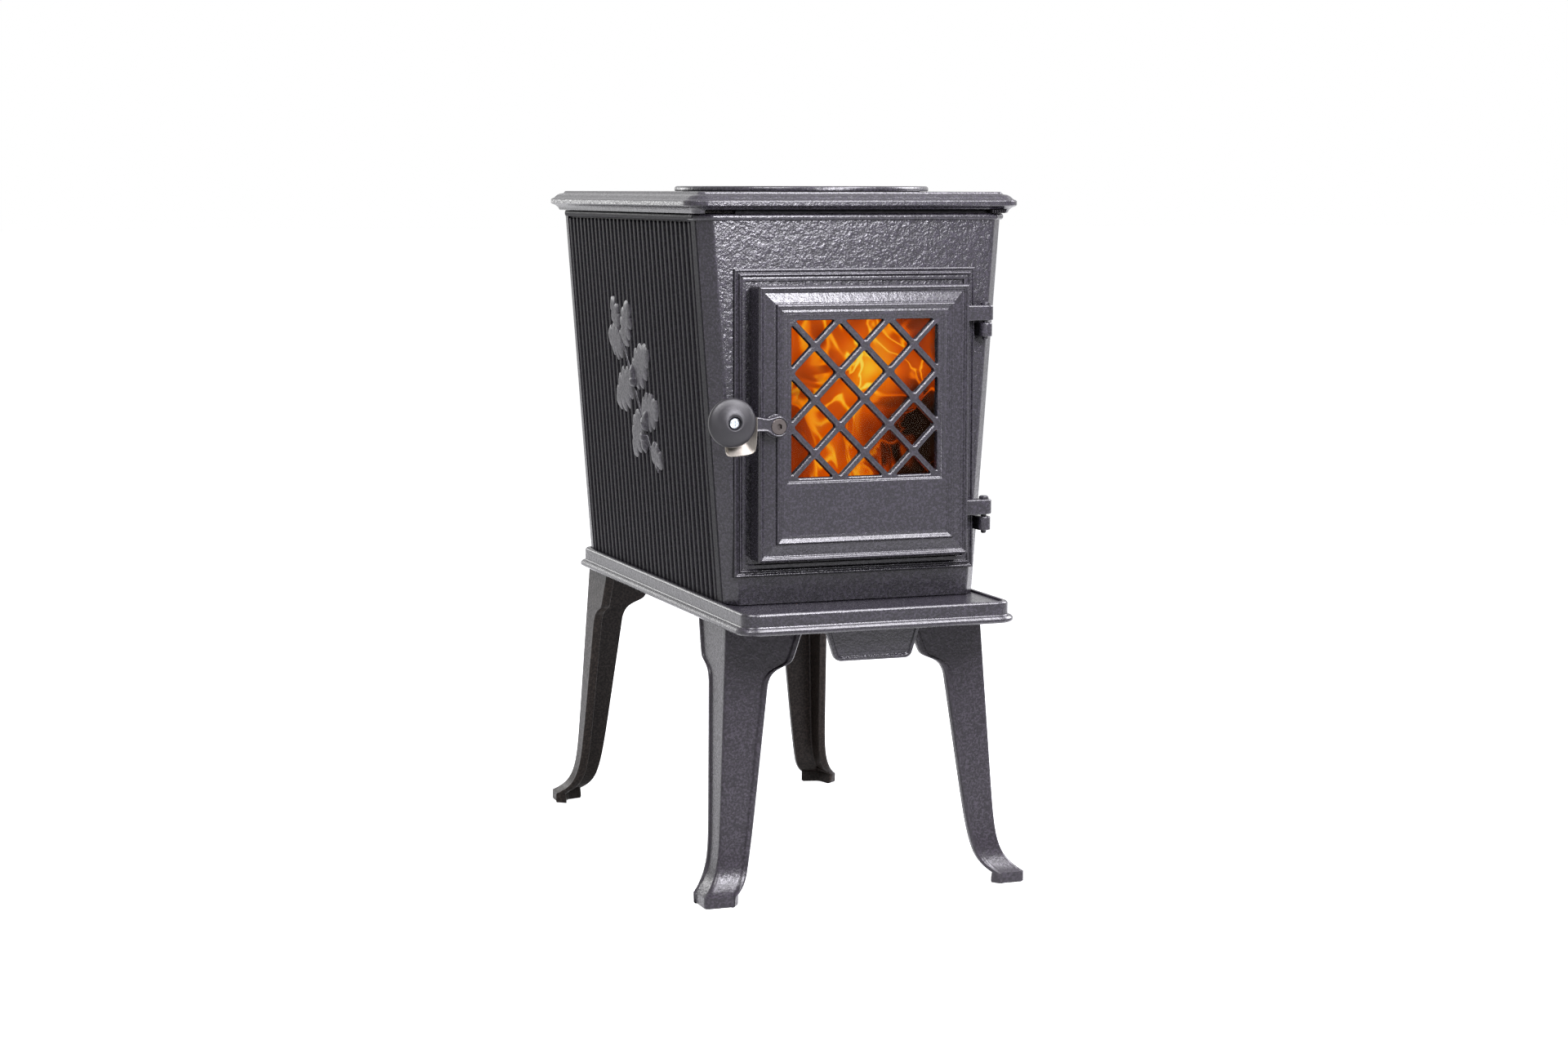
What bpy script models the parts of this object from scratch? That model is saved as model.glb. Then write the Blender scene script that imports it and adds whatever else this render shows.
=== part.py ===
"""A small cast iron wood stove on four flared legs, built as separate castings and fittings.

Units are metres and +Z is up. The origin is on the floor, at the middle of the stove's footprint.
The door faces -Y, its hinges are on the +X side and the flue collar points to +Y.
"""
import math

import bmesh
import bpy
from mathutils import Vector

# Clearance between pieces that touch or seat on each other
GAP = 0.0003

# Base plate, from the lower edge of its lip upwards
LIP_Z = 0.2493
LIP_HEIGHT = 0.0062
BAND_HEIGHT = 0.0130
RIM_DEPTH = 0.0020
RIM_WIDTH = 0.0050
BAND_INSET = 0.0048
BASE_THICKNESS = 0.0080
LIP_WALL = 0.0065
BASE_CORNER_RADIUS = 0.0190
BASE_SIDE_LEDGE = 0.0105
BASE_REAR_LEDGE = 0.0204
ASH_LIP_DEPTH = 0.0707

# Body: front and rear stand upright, the sides lean outwards towards the top
BODY_HEIGHT = 0.3487
BODY_DEPTH = 0.4334
BODY_FRONT_Y = -0.1993
BODY_BOTTOM_HALF_WIDTH = 0.1220
BODY_TOP_HALF_WIDTH = 0.1474
WALL = 0.0080
CORNER_RETURN = 0.0263
CHAMFER_X = 0.0115
CHAMFER_Y = 0.0138
BEAD_HEIGHT = 0.0058
BEAD_REACH = 0.0030

# Ribs of the side plates
RIB_COUNT = 38
RIB_HEIGHT = 0.0020
RIB_SHARE = 0.62
RIB_TOP_DROP = 0.0022

# Top plate
TOP_HEIGHT = 0.0192
TOP_THICKNESS = 0.0080
TOP_SIDE_OVERHANG = 0.0126
TOP_FRONT_OVERHANG = 0.0107
TOP_REAR_OVERHANG = 0.0259
TOP_CORNER_RADIUS = 0.0200
SEAT_WIDTH = 0.0100
SHELF_REACH = 0.0233
SHELF_THICKNESS = 0.0080

# Round hob lid in the top plate
LID_CENTRE_Y = -0.0590
LID_RADIUS = 0.1190
LID_SPIGOT_RADIUS = 0.1108
LID_PROUD = 0.0050
LID_SPIGOT_DEPTH = 0.0070
LID_SLOT_LENGTH = 0.0240
LID_SLOT_WIDTH = 0.0090
LID_SLOT_DEPTH = 0.0055

# Rope seal under the top plate
ROPE_WIDTH = 0.0060
ROPE_HEIGHT = 0.0040
ROPE_EDGE = 0.0009
ROPE_FRONT_SETBACK = 0.0108

# Air slider in its slot over the front plate
SLOT_HEIGHT = 0.0036
SLOT_DEPTH = 0.0085
SLOT_END = 0.0009
SLIDER_THICKNESS = 0.0030
SLIDER_LEFT_MARGIN = 0.0354
SLIDER_RIGHT_MARGIN = 0.0174
TAB_LENGTH = 0.0138
TAB_REACH = 0.0072
TAB_TEETH = 6
TAB_TOOTH_DEPTH = 0.0010
AIR_PORT_LENGTH = 0.0380
AIR_PORT_WIDTH = 0.0040
AIR_PORT_SPACING = 0.0800

# Legs: angle castings with a taper, a flared foot and a shoulder under the base
LEG_AHEAD = 0.0023
LEG_INSET_REAR = 0.0175
LEG_INSET_SIDE = 0.0090
LEG_TAPER = 0.0125
LEG_FLARE = 0.0190
LEG_FLARE_LENGTH = 0.0125
TOE_HEIGHT = 0.0100
LEG_THICKNESS = 0.0065
FOOT_EXTRA_THICKNESS = 0.0085
LEG_FOOT_WIDTH = 0.0230
LEG_WIDENING = 0.0800
LEG_BEAD_WIDTH = 0.0045
LEG_BEAD_HEIGHT = 0.0012
LEG_PAD = 0.0460
LEG_PAD_THICKNESS = 0.0070
# Distance below the top of the leg, and how much wider the flange is there
LEG_SHOULDER = (
    (0.0700, 0.0000),
    (0.0600, 0.0015),
    (0.0545, 0.0045),
    (0.0505, 0.0095),
    (0.0480, 0.0150),
    (0.0455, 0.0205),
    (0.0415, 0.0240),
    (0.0355, 0.0262),
    (0.0000, 0.0370),
)

# Apron tab under the ash lip
APRON_SETBACK = 0.0232
APRON_THICKNESS = 0.0060
APRON_DROP = 0.0300
APRON_TOP_HALF_WIDTH = 0.0455
APRON_BOTTOM_HALF_WIDTH = 0.0360
APRON_CORNER_RADIUS = 0.0070
APRON_BORDER = 0.0085
APRON_RECESS = 0.0010

# Tie rods that clamp top plate, body, base plate and legs together
ROD_RADIUS = 0.0030
ROD_INSET_SIDE = 0.0240
ROD_INSET_FRONT = 0.0308
ROD_INSET_REAR = 0.0201
ROD_CLEARANCE = 0.0006
ROD_BOSS_RADIUS = 0.0080
ROD_BOSS_HEIGHT = 0.0070
ROD_END = 0.0030
NUT_RADIUS = 0.0064
NUT_HEIGHT = 0.0050

# Door, measured from the outer edge of its rim
DOOR_SIDE_MARGIN = 0.0210
DOOR_BOTTOM_RISE = 0.0404
DOOR_HEIGHT = 0.2453
DOOR_FACE_GAP = 0.0007
DOOR_DEPTH = 0.0225
DOOR_CORNER_RADIUS = 0.0035
PANEL_THICKNESS = 0.0050
PANEL_SINK = 0.0030
RIM_WALL = 0.0055
CHANNEL_WIDTH = 0.0060
CHANNEL_DEPTH = 0.0065
INNER_RIB_WIDTH = 0.0030
INNER_RIB_SETBACK = 0.0035
# Door face: distance in from the edge, and height over the level of the outer bead
DOOR_FACE = (
    (0.0270, -0.0030),
    (0.0262, -0.0012),
    (0.0243, -0.0003),
    (0.0222, -0.0013),
    (0.0203, 0.0012),
    (0.0191, 0.0011),
    (0.0182, -0.0010),
    (0.0170, 0.0018),
    (0.0162, 0.0020),
    (0.0060, 0.0002),
    (0.0046, -0.0011),
    (0.0034, -0.0006),
    (0.0018, 0.0000),
    (0.0000, -0.0015),
)

# Lattice window in the door
WINDOW_SIDE_MARGIN = 0.0297
WINDOW_TOP_MARGIN = 0.0300
WINDOW_HEIGHT = 0.1435
LATTICE_CELLS = 6
BAR_WIDTH = 0.0042
CELL_CORNER = 0.0028
DIVIDER_DROP = 0.0034
DIVIDER_HALF_HEIGHT = 0.0017
DIVIDER_PROUD = 0.0009

# Glass behind the lattice, with its seal, clips and screws
GLASS_SIDE_OVERLAP = 0.0072
GLASS_THICKNESS = 0.0040
GLASS_OVERLAP = 0.0080
GLASS_SEAL_WIDTH = 0.0060
GLASS_SEAL_THICKNESS = 0.0007
CLIP_THICKNESS = 0.0012
CLIP_HALF_HEIGHT = 0.0045
CLIP_GRIP = 0.0050
CLIP_HEIGHTS = (0.30, 0.80)
CLIP_BOSS_HALF_HEIGHT = 0.0055
CLIP_EDGE = 0.0005
CLIP_SCREW_RADIUS = 0.0012
CLIP_SCREW_HEAD_RADIUS = 0.0022
CLIP_SCREW_HEAD_HEIGHT = 0.0016
CLIP_SCREW_LENGTH = 0.0045

# Raised frame round the door: distance in from its outer edge, and height over the front plate
FRAME_GAP = 0.0033
FRAME_FACE = (
    (0.0000, 0.0012),
    (0.0006, 0.0022),
    (0.0018, 0.0024),
    (0.0030, 0.0014),
    (0.0042, 0.0014),
    (0.0050, 0.0034),
    (0.0060, 0.0034),
    (0.0075, 0.0018),
    (0.0092, 0.0022),
    (0.0117, 0.0022),
)
FRAME_ROOT = 0.0020
FRAME_CORNER_RADIUS = 0.0030
DOORWAY_INSET = 0.0180

# Hinges on the right
HINGE_OUT = 0.0215
HINGE_AHEAD = 0.0107
KNUCKLE_RADIUS = 0.0062
LUG_RADIUS = 0.0070
PIN_RADIUS = 0.0025
PIN_CLEARANCE = 0.0004
PIN_HEAD_RADIUS = 0.0045
PIN_HEAD_HEIGHT = 0.0028
PIN_END = 0.0030
LUG_HEIGHT = 0.0137
KNUCKLE_HEIGHT = 0.0128
LUG_ABOVE_DOOR_BOTTOM = (0.0350, 0.2120)
KNUCKLE_DROP = 0.0020

# Latch: screw in the door, arm, knob and the peg it rests on
LATCH_INSET = 0.0160
LATCH_RISE = 0.1223
LATCH_BOSS_RADIUS = 0.0105
LATCH_BOSS_PROUD = 0.0027
WASHER_THICKNESS = 0.0008
WASHER_RADIUS = 0.0062
ARM_THICKNESS = 0.0070
ARM_HUB_RADIUS = 0.0094
ARM_HALF_WIDTH = 0.0066
ARM_SLOPE = math.radians(6.7)
ARM_LENGTH = 0.0486
ARM_END_RADIUS = 0.0086
LATCH_SCREW_RADIUS = 0.0038
LATCH_SCREW_HEAD_RADIUS = 0.0071
LATCH_SCREW_HEAD_HEIGHT = 0.0034
LATCH_SCREW_LENGTH = 0.0150
SOCKET_RADIUS = 0.0029
SOCKET_DEPTH = 0.0030
SCREW_CLEARANCE = 0.0004
PEG_RADIUS = 0.0025
PEG_CLEARANCE = 0.0004
NOTCH_EASE = 0.0010
PEG_FROM_SCREW = 0.0370
PEG_LENGTH = 0.0310
PEG_FOOT_RADIUS = 0.0055
PEG_FOOT_HEIGHT = 0.0030
PEG_ROOT = 0.0040

# Knob: distance forward of the arm, and radius
KNOB_RADIUS = 0.0219
KNOB_PROFILE = (
    (0.0000, 0.0095),
    (0.0010, 0.0095),
    (0.0030, 0.0150),
    (0.0062, 0.0200),
    (0.0092, 0.0217),
    (0.0120, 0.0219),
    (0.0142, 0.0202),
    (0.0170, 0.0162),
    (0.0192, 0.0112),
    (0.0202, 0.0068),
    (0.0196, 0.0058),
)
KNOB_RECESS = 0.0160
KNOB_SCREW_HEAD_RADIUS = 0.0044
KNOB_SCREW_HEAD_HEIGHT = 0.0026
KNOB_SCREW_RADIUS = 0.0020
KNOB_SCREW_BITE = 0.0050

# Guard behind the knob: a round tab with a band bent forward along its lower right edge
GUARD_THICKNESS = 0.0012
GUARD_TAB_RADIUS = 0.0130
BAND_DEPTH = 0.0095
# Points along the band, from the arm down and round under the knob, measured from the knob's axis
GUARD_BAND = (
    (0.0257, -0.0010),
    (0.0250, -0.0100),
    (0.0228, -0.0195),
    (0.0190, -0.0270),
    (0.0150, -0.0300),
    (0.0100, -0.0270),
    (0.0085, -0.0232),
    (0.0045, -0.0300),
    (0.0015, -0.0225),
)
# Outer edge of the tab between the band's ends, measured the same way
GUARD_WEB = (
    (0.0132, -0.0288),
    (0.0190, -0.0262),
    (0.0226, -0.0194),
    (0.0248, -0.0100),
    (0.0252, -0.0012),
)

# Flue collar on the rear plate
FLUE_CLEARANCE = 0.0100
FLUE_RADIUS = 0.0650
FLUE_WALL = 0.0060
FLUE_LENGTH = 0.0359
FLUE_FLANGE_WIDTH = 0.0120
FLUE_FLANGE_THICKNESS = 0.0050
FLUE_SCREWS = 3
FLUE_SCREW_RADIUS = 0.0025
FLUE_SCREW_HEAD_RADIUS = 0.0045
FLUE_SCREW_HEAD_HEIGHT = 0.0032
FLUE_SCREW_LENGTH = 0.0100

# Firebox lining
HEARTH_THICKNESS = 0.0060
HEARTH_INSET_FRONT = 0.0433
HEARTH_INSET_REAR = 0.0301
LINING_GAP = 0.0030
LINING_THICKNESS = 0.0070
LINING_TOP_DROP = 0.0700
LINING_END_GAP = 0.0020
REAR_LINING_RISE = 0.1900
BAFFLE_THICKNESS = 0.0070
BAFFLE_FRONT_GAP = 0.0600
RETAINER_HEIGHT = 0.0520
RETAINER_THICKNESS = 0.0060
RETAINER_SETBACK = 0.0120
RETAINER_FOOT = 0.0140
RETAINER_FILLET = 0.0080

# Round pieces have this many sides
FINE = 40
MEDIUM = 20
COARSE = 12
HEX = 6

# Heights that follow from the sizes above
RIM_Z = LIP_Z + LIP_HEIGHT + BAND_HEIGHT
FLOOR_Z = RIM_Z - RIM_DEPTH
UNDER_Z = FLOOR_Z - BASE_THICKNESS
LEG_TOP_Z = UNDER_Z - GAP
BODY_BOTTOM_Z = FLOOR_Z + GAP
BODY_TOP_Z = BODY_BOTTOM_Z + BODY_HEIGHT
SEAT_Z = BODY_TOP_Z + GAP
TOP_Z = SEAT_Z + TOP_HEIGHT
TOP_UNDER_Z = TOP_Z - TOP_THICKNESS
BEAD_Z = BODY_TOP_Z - BEAD_HEIGHT

# Places in plan that follow from them
BODY_REAR_Y = BODY_FRONT_Y + BODY_DEPTH
REAR_PLATE_Y = BODY_REAR_Y - WALL
JOINT_Y = BODY_FRONT_Y + CORNER_RETURN
BASE_FRONT_Y = BODY_FRONT_Y - ASH_LIP_DEPTH
BASE_REAR_Y = BODY_REAR_Y + BASE_REAR_LEDGE
BASE_HALF_WIDTH = BODY_BOTTOM_HALF_WIDTH + BASE_SIDE_LEDGE
TOP_HALF_WIDTH = BODY_TOP_HALF_WIDTH + TOP_SIDE_OVERHANG
TOP_FRONT_Y = BODY_FRONT_Y - TOP_FRONT_OVERHANG
TOP_REAR_Y = BODY_REAR_Y + TOP_REAR_OVERHANG
HEARTH_TOP_Z = FLOOR_Z + GAP + HEARTH_THICKNESS
HEARTH_FRONT_Y = BODY_FRONT_Y + HEARTH_INSET_FRONT
HEARTH_REAR_Y = BODY_REAR_Y - HEARTH_INSET_REAR
SLOT_HALF_LENGTH = BODY_TOP_HALF_WIDTH - SLOT_END
SLIDER_LEFT_X = SLIDER_LEFT_MARGIN - BODY_TOP_HALF_WIDTH
SLIDER_RIGHT_X = BODY_TOP_HALF_WIDTH - SLIDER_RIGHT_MARGIN

# Door planes and edges
DOOR_HALF_WIDTH = BODY_BOTTOM_HALF_WIDTH - DOOR_SIDE_MARGIN
WINDOW_HALF_WIDTH = DOOR_HALF_WIDTH - WINDOW_SIDE_MARGIN
GLASS_HALF_WIDTH = WINDOW_HALF_WIDTH + GLASS_SIDE_OVERLAP
HINGE_X = DOOR_HALF_WIDTH + HINGE_OUT
HINGE_Y = BODY_FRONT_Y - HINGE_AHEAD
DOOR_BOTTOM_Z = BODY_BOTTOM_Z + DOOR_BOTTOM_RISE
DOOR_TOP_Z = DOOR_BOTTOM_Z + DOOR_HEIGHT
DOOR_BACK_Y = BODY_FRONT_Y - DOOR_FACE_GAP
DOOR_BEAD_Y = DOOR_BACK_Y - DOOR_DEPTH
PANEL_Y = DOOR_BEAD_Y + PANEL_SINK
PANEL_BACK_Y = PANEL_Y + PANEL_THICKNESS
WINDOW_TOP_Z = DOOR_TOP_Z - WINDOW_TOP_MARGIN
WINDOW_BOTTOM_Z = WINDOW_TOP_Z - WINDOW_HEIGHT
GLASS_TOP_Z = WINDOW_TOP_Z + GLASS_OVERLAP
GLASS_BOTTOM_Z = WINDOW_BOTTOM_Z - GLASS_OVERLAP
GLASS_FRONT_Y = PANEL_BACK_Y + GAP + GLASS_SEAL_THICKNESS + GAP
GLASS_BACK_Y = GLASS_FRONT_Y + GLASS_THICKNESS
CLIP_Y = GLASS_BACK_Y + GAP
FRAME_HALF_WIDTH = DOOR_HALF_WIDTH + FRAME_GAP + FRAME_FACE[-1][0]

# Latch planes, from the door outwards
LATCH_X = LATCH_INSET - DOOR_HALF_WIDTH
LATCH_Z = DOOR_BOTTOM_Z + LATCH_RISE
LATCH_BOSS_Y = DOOR_BEAD_Y - LATCH_BOSS_PROUD
ARM_BACK_Y = LATCH_BOSS_Y - GAP - WASHER_THICKNESS - GAP
ARM_FRONT_Y = ARM_BACK_Y - ARM_THICKNESS
GUARD_BACK_Y = ARM_FRONT_Y - GAP
GUARD_FRONT_Y = GUARD_BACK_Y - GUARD_THICKNESS
KNOB_BACK_Y = GUARD_FRONT_Y - GAP
KNOB_X = LATCH_X - ARM_LENGTH * math.cos(ARM_SLOPE)
KNOB_Z = LATCH_Z + ARM_LENGTH * math.sin(ARM_SLOPE)
PEG_UP = PEG_RADIUS + PEG_CLEARANCE - ARM_HALF_WIDTH
PEG_X = LATCH_X - PEG_FROM_SCREW * math.cos(ARM_SLOPE) + PEG_UP * math.sin(ARM_SLOPE)
PEG_Z = LATCH_Z + PEG_FROM_SCREW * math.sin(ARM_SLOPE) + PEG_UP * math.cos(ARM_SLOPE)

# Flue and tie rods
FLUE_BORE_RADIUS = FLUE_RADIUS - FLUE_WALL
FLUE_FLANGE_RADIUS = FLUE_RADIUS + FLUE_FLANGE_WIDTH
FLUE_Z = SEAT_Z - FLUE_CLEARANCE - FLUE_FLANGE_RADIUS
ROD_HALF_SPACING = BODY_BOTTOM_HALF_WIDTH - ROD_INSET_SIDE
ROD_FRONT_Y = BODY_FRONT_Y + ROD_INSET_FRONT
ROD_REAR_Y = BODY_REAR_Y - ROD_INSET_REAR
ROD_PLACES = {
    "front_left": (-ROD_HALF_SPACING, ROD_FRONT_Y),
    "front_right": (ROD_HALF_SPACING, ROD_FRONT_Y),
    "rear_left": (-ROD_HALF_SPACING, ROD_REAR_Y),
    "rear_right": (ROD_HALF_SPACING, ROD_REAR_Y),
}
NUT_TOP_Z = LEG_TOP_Z - LEG_PAD_THICKNESS - GAP

# Colour, metallic value and roughness of each finish
FINISHES = {
    "painted_casting": ((0.052, 0.050, 0.057), 0.55, 0.48),
    "raw_casting": ((0.085, 0.078, 0.074), 0.60, 0.70),
    "black_knob": ((0.040, 0.038, 0.041), 0.10, 0.38),
    "spring_steel": ((0.420, 0.400, 0.370), 1.00, 0.34),
    "bright_zinc": ((0.640, 0.660, 0.680), 1.00, 0.28),
    "dark_steel": ((0.180, 0.170, 0.170), 1.00, 0.45),
    "rope_seal": ((0.180, 0.170, 0.160), 0.00, 0.95),
    "ceramic_glass": ((0.300, 0.240, 0.180), 0.00, 0.08),
}


def clear_scene():
    """Removes what the file opened with."""
    for thing in list(bpy.data.objects):
        bpy.data.objects.remove(thing, do_unlink=True)


def finish_material(finish):
    """The shader of one finish, made once."""
    material = bpy.data.materials.get(finish)
    if material:
        return material
    colour, metallic, roughness = FINISHES[finish]
    material = bpy.data.materials.new(finish)
    material.use_nodes = True
    shader = material.node_tree.nodes["Principled BSDF"]
    shader.inputs["Base Color"].default_value = (*colour, 1.0)
    shader.inputs["Metallic"].default_value = metallic
    shader.inputs["Roughness"].default_value = roughness
    return material


def in_plane(axis, first, second, level):
    """A point from two coordinates in the plane square to an axis, and its level along that axis."""
    if axis == "X":
        return Vector((level, first, second))
    if axis == "Y":
        return Vector((first, level, second))
    return Vector((first, second, level))


def place_object(name, shape, finish):
    """Turns a bmesh into an object with its faces pointing outwards."""
    bmesh.ops.recalc_face_normals(shape, faces=shape.faces)
    mesh = bpy.data.meshes.new(name)
    shape.to_mesh(mesh)
    shape.free()
    mesh.materials.append(finish_material(finish))
    thing = bpy.data.objects.new(name, mesh)
    bpy.context.collection.objects.link(thing)
    return thing


def loft(name, rings, finish, closed=False):
    """Skins rings of equally many points; an open row of rings gets a cap at each end."""
    shape = bmesh.new()
    loops = [[shape.verts.new(point) for point in ring] for ring in rings]
    pairs = list(zip(loops, loops[1:]))
    if closed:
        pairs.append((loops[-1], loops[0]))
    else:
        shape.faces.new(loops[0])
        shape.faces.new(loops[-1])
    for here, there in pairs:
        for step in range(len(here)):
            shape.faces.new((here[step - 1], here[step], there[step], there[step - 1]))
    return place_object(name, shape, finish)


def prism(name, outline, axis, low, high, finish):
    """An outline extruded along an axis."""
    shape = bmesh.new()
    base = shape.faces.new([shape.verts.new(in_plane(axis, first, second, low)) for first, second in outline])
    grown = bmesh.ops.extrude_face_region(shape, geom=[base], use_keep_orig=True)
    raised = [part for part in grown["geom"] if isinstance(part, bmesh.types.BMVert)]
    bmesh.ops.translate(shape, verts=raised, vec=in_plane(axis, 0.0, 0.0, high - low))
    return place_object(name, shape, finish)


def block(name, low, high, finish):
    """A plain rectangular block between two corners."""
    outline = ((low[0], low[1]), (high[0], low[1]), (high[0], high[1]), (low[0], high[1]))
    return prism(name, outline, "Z", low[2], high[2], finish)


def turned(name, stations, axis, centre, sides, finish, closed=False, turn=0.0):
    """A turned shape: each station is a level along the axis and a radius."""
    shape = bmesh.new()
    start = 2 * math.pi * turn / sides
    profile = []
    for level, radius in stations:
        across = centre[0] + radius * math.cos(start)
        up = centre[1] + radius * math.sin(start)
        profile.append(shape.verts.new(in_plane(axis, across, up, level)))
    edges = [shape.edges.new(pair) for pair in zip(profile, profile[1:])]
    if closed:
        edges.append(shape.edges.new((profile[-1], profile[0])))
    bmesh.ops.spin(
        shape, geom=profile + edges, cent=in_plane(axis, centre[0], centre[1], 0.0),
        axis=in_plane(axis, 0.0, 0.0, 1.0), angle=2 * math.pi, steps=sides, use_merge=True)
    bmesh.ops.remove_doubles(shape, verts=shape.verts, dist=0.000001)
    bmesh.ops.holes_fill(shape, edges=shape.edges, sides=0)
    return place_object(name, shape, finish)


def arc(centre, radius, start, end, steps):
    """Points along an arc, ends included; angles are in degrees."""
    points = []
    for step in range(steps + 1):
        angle = math.radians(start + (end - start) * step / steps)
        points.append((centre[0] + radius * math.cos(angle), centre[1] + radius * math.sin(angle)))
    return points


def rounded_rectangle(left, right, low, high, radius, steps=3):
    """A rectangle with rounded corners, always with the same number of points."""
    outline = []
    corners = ((right, low, -90), (right, high, 0), (left, high, 90), (left, low, 180))
    for across, up, start in corners:
        inward = -1 if across == right else 1
        upward = 1 if up == low else -1
        centre = (across + inward * radius, up + upward * radius)
        outline.extend(arc(centre, radius, start, start + 90, steps))
    return outline


def combine(body, tools, operation):
    """Joins tool solids to a body, or cuts them out of it, and removes the tools."""
    for tool in tools:
        tool.hide_render = True
        tool.display_type = 'WIRE'
        change = body.modifiers.new(tool.name, 'BOOLEAN')
        change.operation = operation
        change.solver = 'EXACT'
        change.object = tool
        bpy.context.view_layer.update()
        with bpy.context.temp_override(object=body, active_object=body, selected_objects=[body]):
            bpy.ops.object.modifier_apply(modifier=change.name)
        bpy.data.objects.remove(tool, do_unlink=True)
    return body


def fuse(body, *tools):
    """Joins solids to a body."""
    return combine(body, tools, 'UNION')


def cut(body, *tools):
    """Cuts solids out of a body."""
    return combine(body, tools, 'DIFFERENCE')


def gather(name, pieces, finish):
    """Separate cutters joined into one, so that one Boolean makes all their openings."""
    shape = bmesh.new()
    for piece in pieces:
        shape.from_mesh(piece.data)
        bpy.data.objects.remove(piece, do_unlink=True)
    return place_object(name, shape, finish)


def pivot(name, place):
    """An empty on a joint's axis."""
    empty = bpy.data.objects.new(name, None)
    empty.empty_display_size = 0.02
    empty.location = place
    bpy.context.collection.objects.link(empty)
    return empty


def hang_on(empty, *pieces):
    """Parents pieces to a joint's empty where they stand."""
    for piece in pieces:
        piece.parent = empty
        piece.matrix_parent_inverse = empty.matrix_basis.inverted()


def body_half(z):
    """Half the width of the body at a height: the sides lean outwards."""
    share = (z - BODY_BOTTOM_Z) / BODY_HEIGHT
    return BODY_BOTTOM_HALF_WIDTH + (BODY_TOP_HALF_WIDTH - BODY_BOTTOM_HALF_WIDTH) * share


def bead_steps():
    """Height over the foot of the body's top bead, and how far it stands out there."""
    return (
        (0.00 * BEAD_HEIGHT, 0.0),
        (0.08 * BEAD_HEIGHT, 0.60 * BEAD_REACH),
        (0.35 * BEAD_HEIGHT, BEAD_REACH),
        (0.68 * BEAD_HEIGHT, BEAD_REACH),
        (0.92 * BEAD_HEIGHT, 0.65 * BEAD_REACH),
        (BEAD_HEIGHT, 0.35 * BEAD_REACH),
    )


def base_ring(inset, z):
    """The base plate's outline, drawn in by an inset."""
    radius = max(BASE_CORNER_RADIUS - inset, 0.004)
    outline = rounded_rectangle(
        -BASE_HALF_WIDTH + inset, BASE_HALF_WIDTH - inset,
        BASE_FRONT_Y + inset, BASE_REAR_Y - inset, radius, 4)
    return [(x, y, z) for x, y in outline]


def make_base_plate():
    """A tray turned upside down: floor with a raised rim, stepped band, lower lip."""
    lip_top = LIP_Z + LIP_HEIGHT
    steps = (
        (BAND_INSET + RIM_WIDTH + GAP, FLOOR_Z),
        (BAND_INSET + RIM_WIDTH, RIM_Z),
        (BAND_INSET + 0.0016, RIM_Z),
        (BAND_INSET, RIM_Z - 0.0016),
        (BAND_INSET, lip_top + 0.0006),
        (BAND_INSET + 0.0012, lip_top - 0.0002),
        (0.0018, lip_top),
        (0.0, lip_top - 0.0022),
        (0.0, LIP_Z + 0.0016),
        (0.0016, LIP_Z),
        (LIP_WALL, LIP_Z),
        (LIP_WALL, UNDER_Z),
    )
    plate = loft("base_plate", [base_ring(inset, z) for inset, z in steps], "painted_casting")
    holes = [
        turned("rod_hole", ((UNDER_Z - 0.01, ROD_RADIUS + ROD_CLEARANCE), (FLOOR_Z + 0.01,
               ROD_RADIUS + ROD_CLEARANCE)), "Z", place, COARSE, "raw_casting")
        for place in ROD_PLACES.values()
    ]
    return cut(plate, *holes)


def apron_outline(inset, top):
    """The apron's outline: sloping sides and rounded lower corners."""
    bottom = LIP_Z - APRON_DROP
    radius = max(APRON_CORNER_RADIUS - inset, 0.001)
    slope = (APRON_TOP_HALF_WIDTH - APRON_BOTTOM_HALF_WIDTH) / APRON_DROP
    lean = math.degrees(math.atan(slope))
    height = top - inset - bottom
    top_half = APRON_BOTTOM_HALF_WIDTH + slope * height - inset
    low = bottom + inset
    low_half = APRON_BOTTOM_HALF_WIDTH - inset
    centre = low_half - radius
    right = arc((centre, low + radius), radius, -90, lean, 3)
    left = [(-x, z) for x, z in reversed(right)]
    return right + [(top_half, top - inset), (-top_half, top - inset)] + left


def make_apron():
    """A cast tab that hangs under the ash lip, with a sunk panel in its face."""
    face = BASE_FRONT_Y + APRON_SETBACK
    top = UNDER_Z - GAP
    rings = (
        (APRON_BORDER + APRON_RECESS, face + APRON_RECESS),
        (APRON_BORDER, face),
        (0.0, face),
        (0.0, face + APRON_THICKNESS),
    )
    return loft("front_apron", [[(x, y, z) for x, z in apron_outline(inset, top)] for inset, y in rings],
                "painted_casting")


def leg_flare(z):
    """How far the leg's outer corner stands out from its top, along X and along Y alike."""
    above_toe = max(z - TOE_HEIGHT, 0.0)
    straight = LEG_TAPER * (1 - max(z, TOE_HEIGHT) / LEG_TOP_Z)
    return straight + LEG_FLARE * math.exp(-above_toe / LEG_FLARE_LENGTH)


def leg_width(z):
    """Width of each flange of the leg: it widens upwards and has a shoulder near the top."""
    width = LEG_FOOT_WIDTH + LEG_WIDENING * min(z, LEG_TOP_Z - LEG_SHOULDER[0][0])
    drop = LEG_TOP_Z - z
    for (far, thin), (near, wide) in zip(LEG_SHOULDER, LEG_SHOULDER[1:]):
        if near <= drop <= far:
            return width + thin + (wide - thin) * (far - drop) / (far - near)
    return width


def leg_thickness(z):
    """The casting is thicker where the foot sweeps outwards."""
    return LEG_THICKNESS + FOOT_EXTRA_THICKNESS * math.exp(-(z / 0.017) ** 2)


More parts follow.
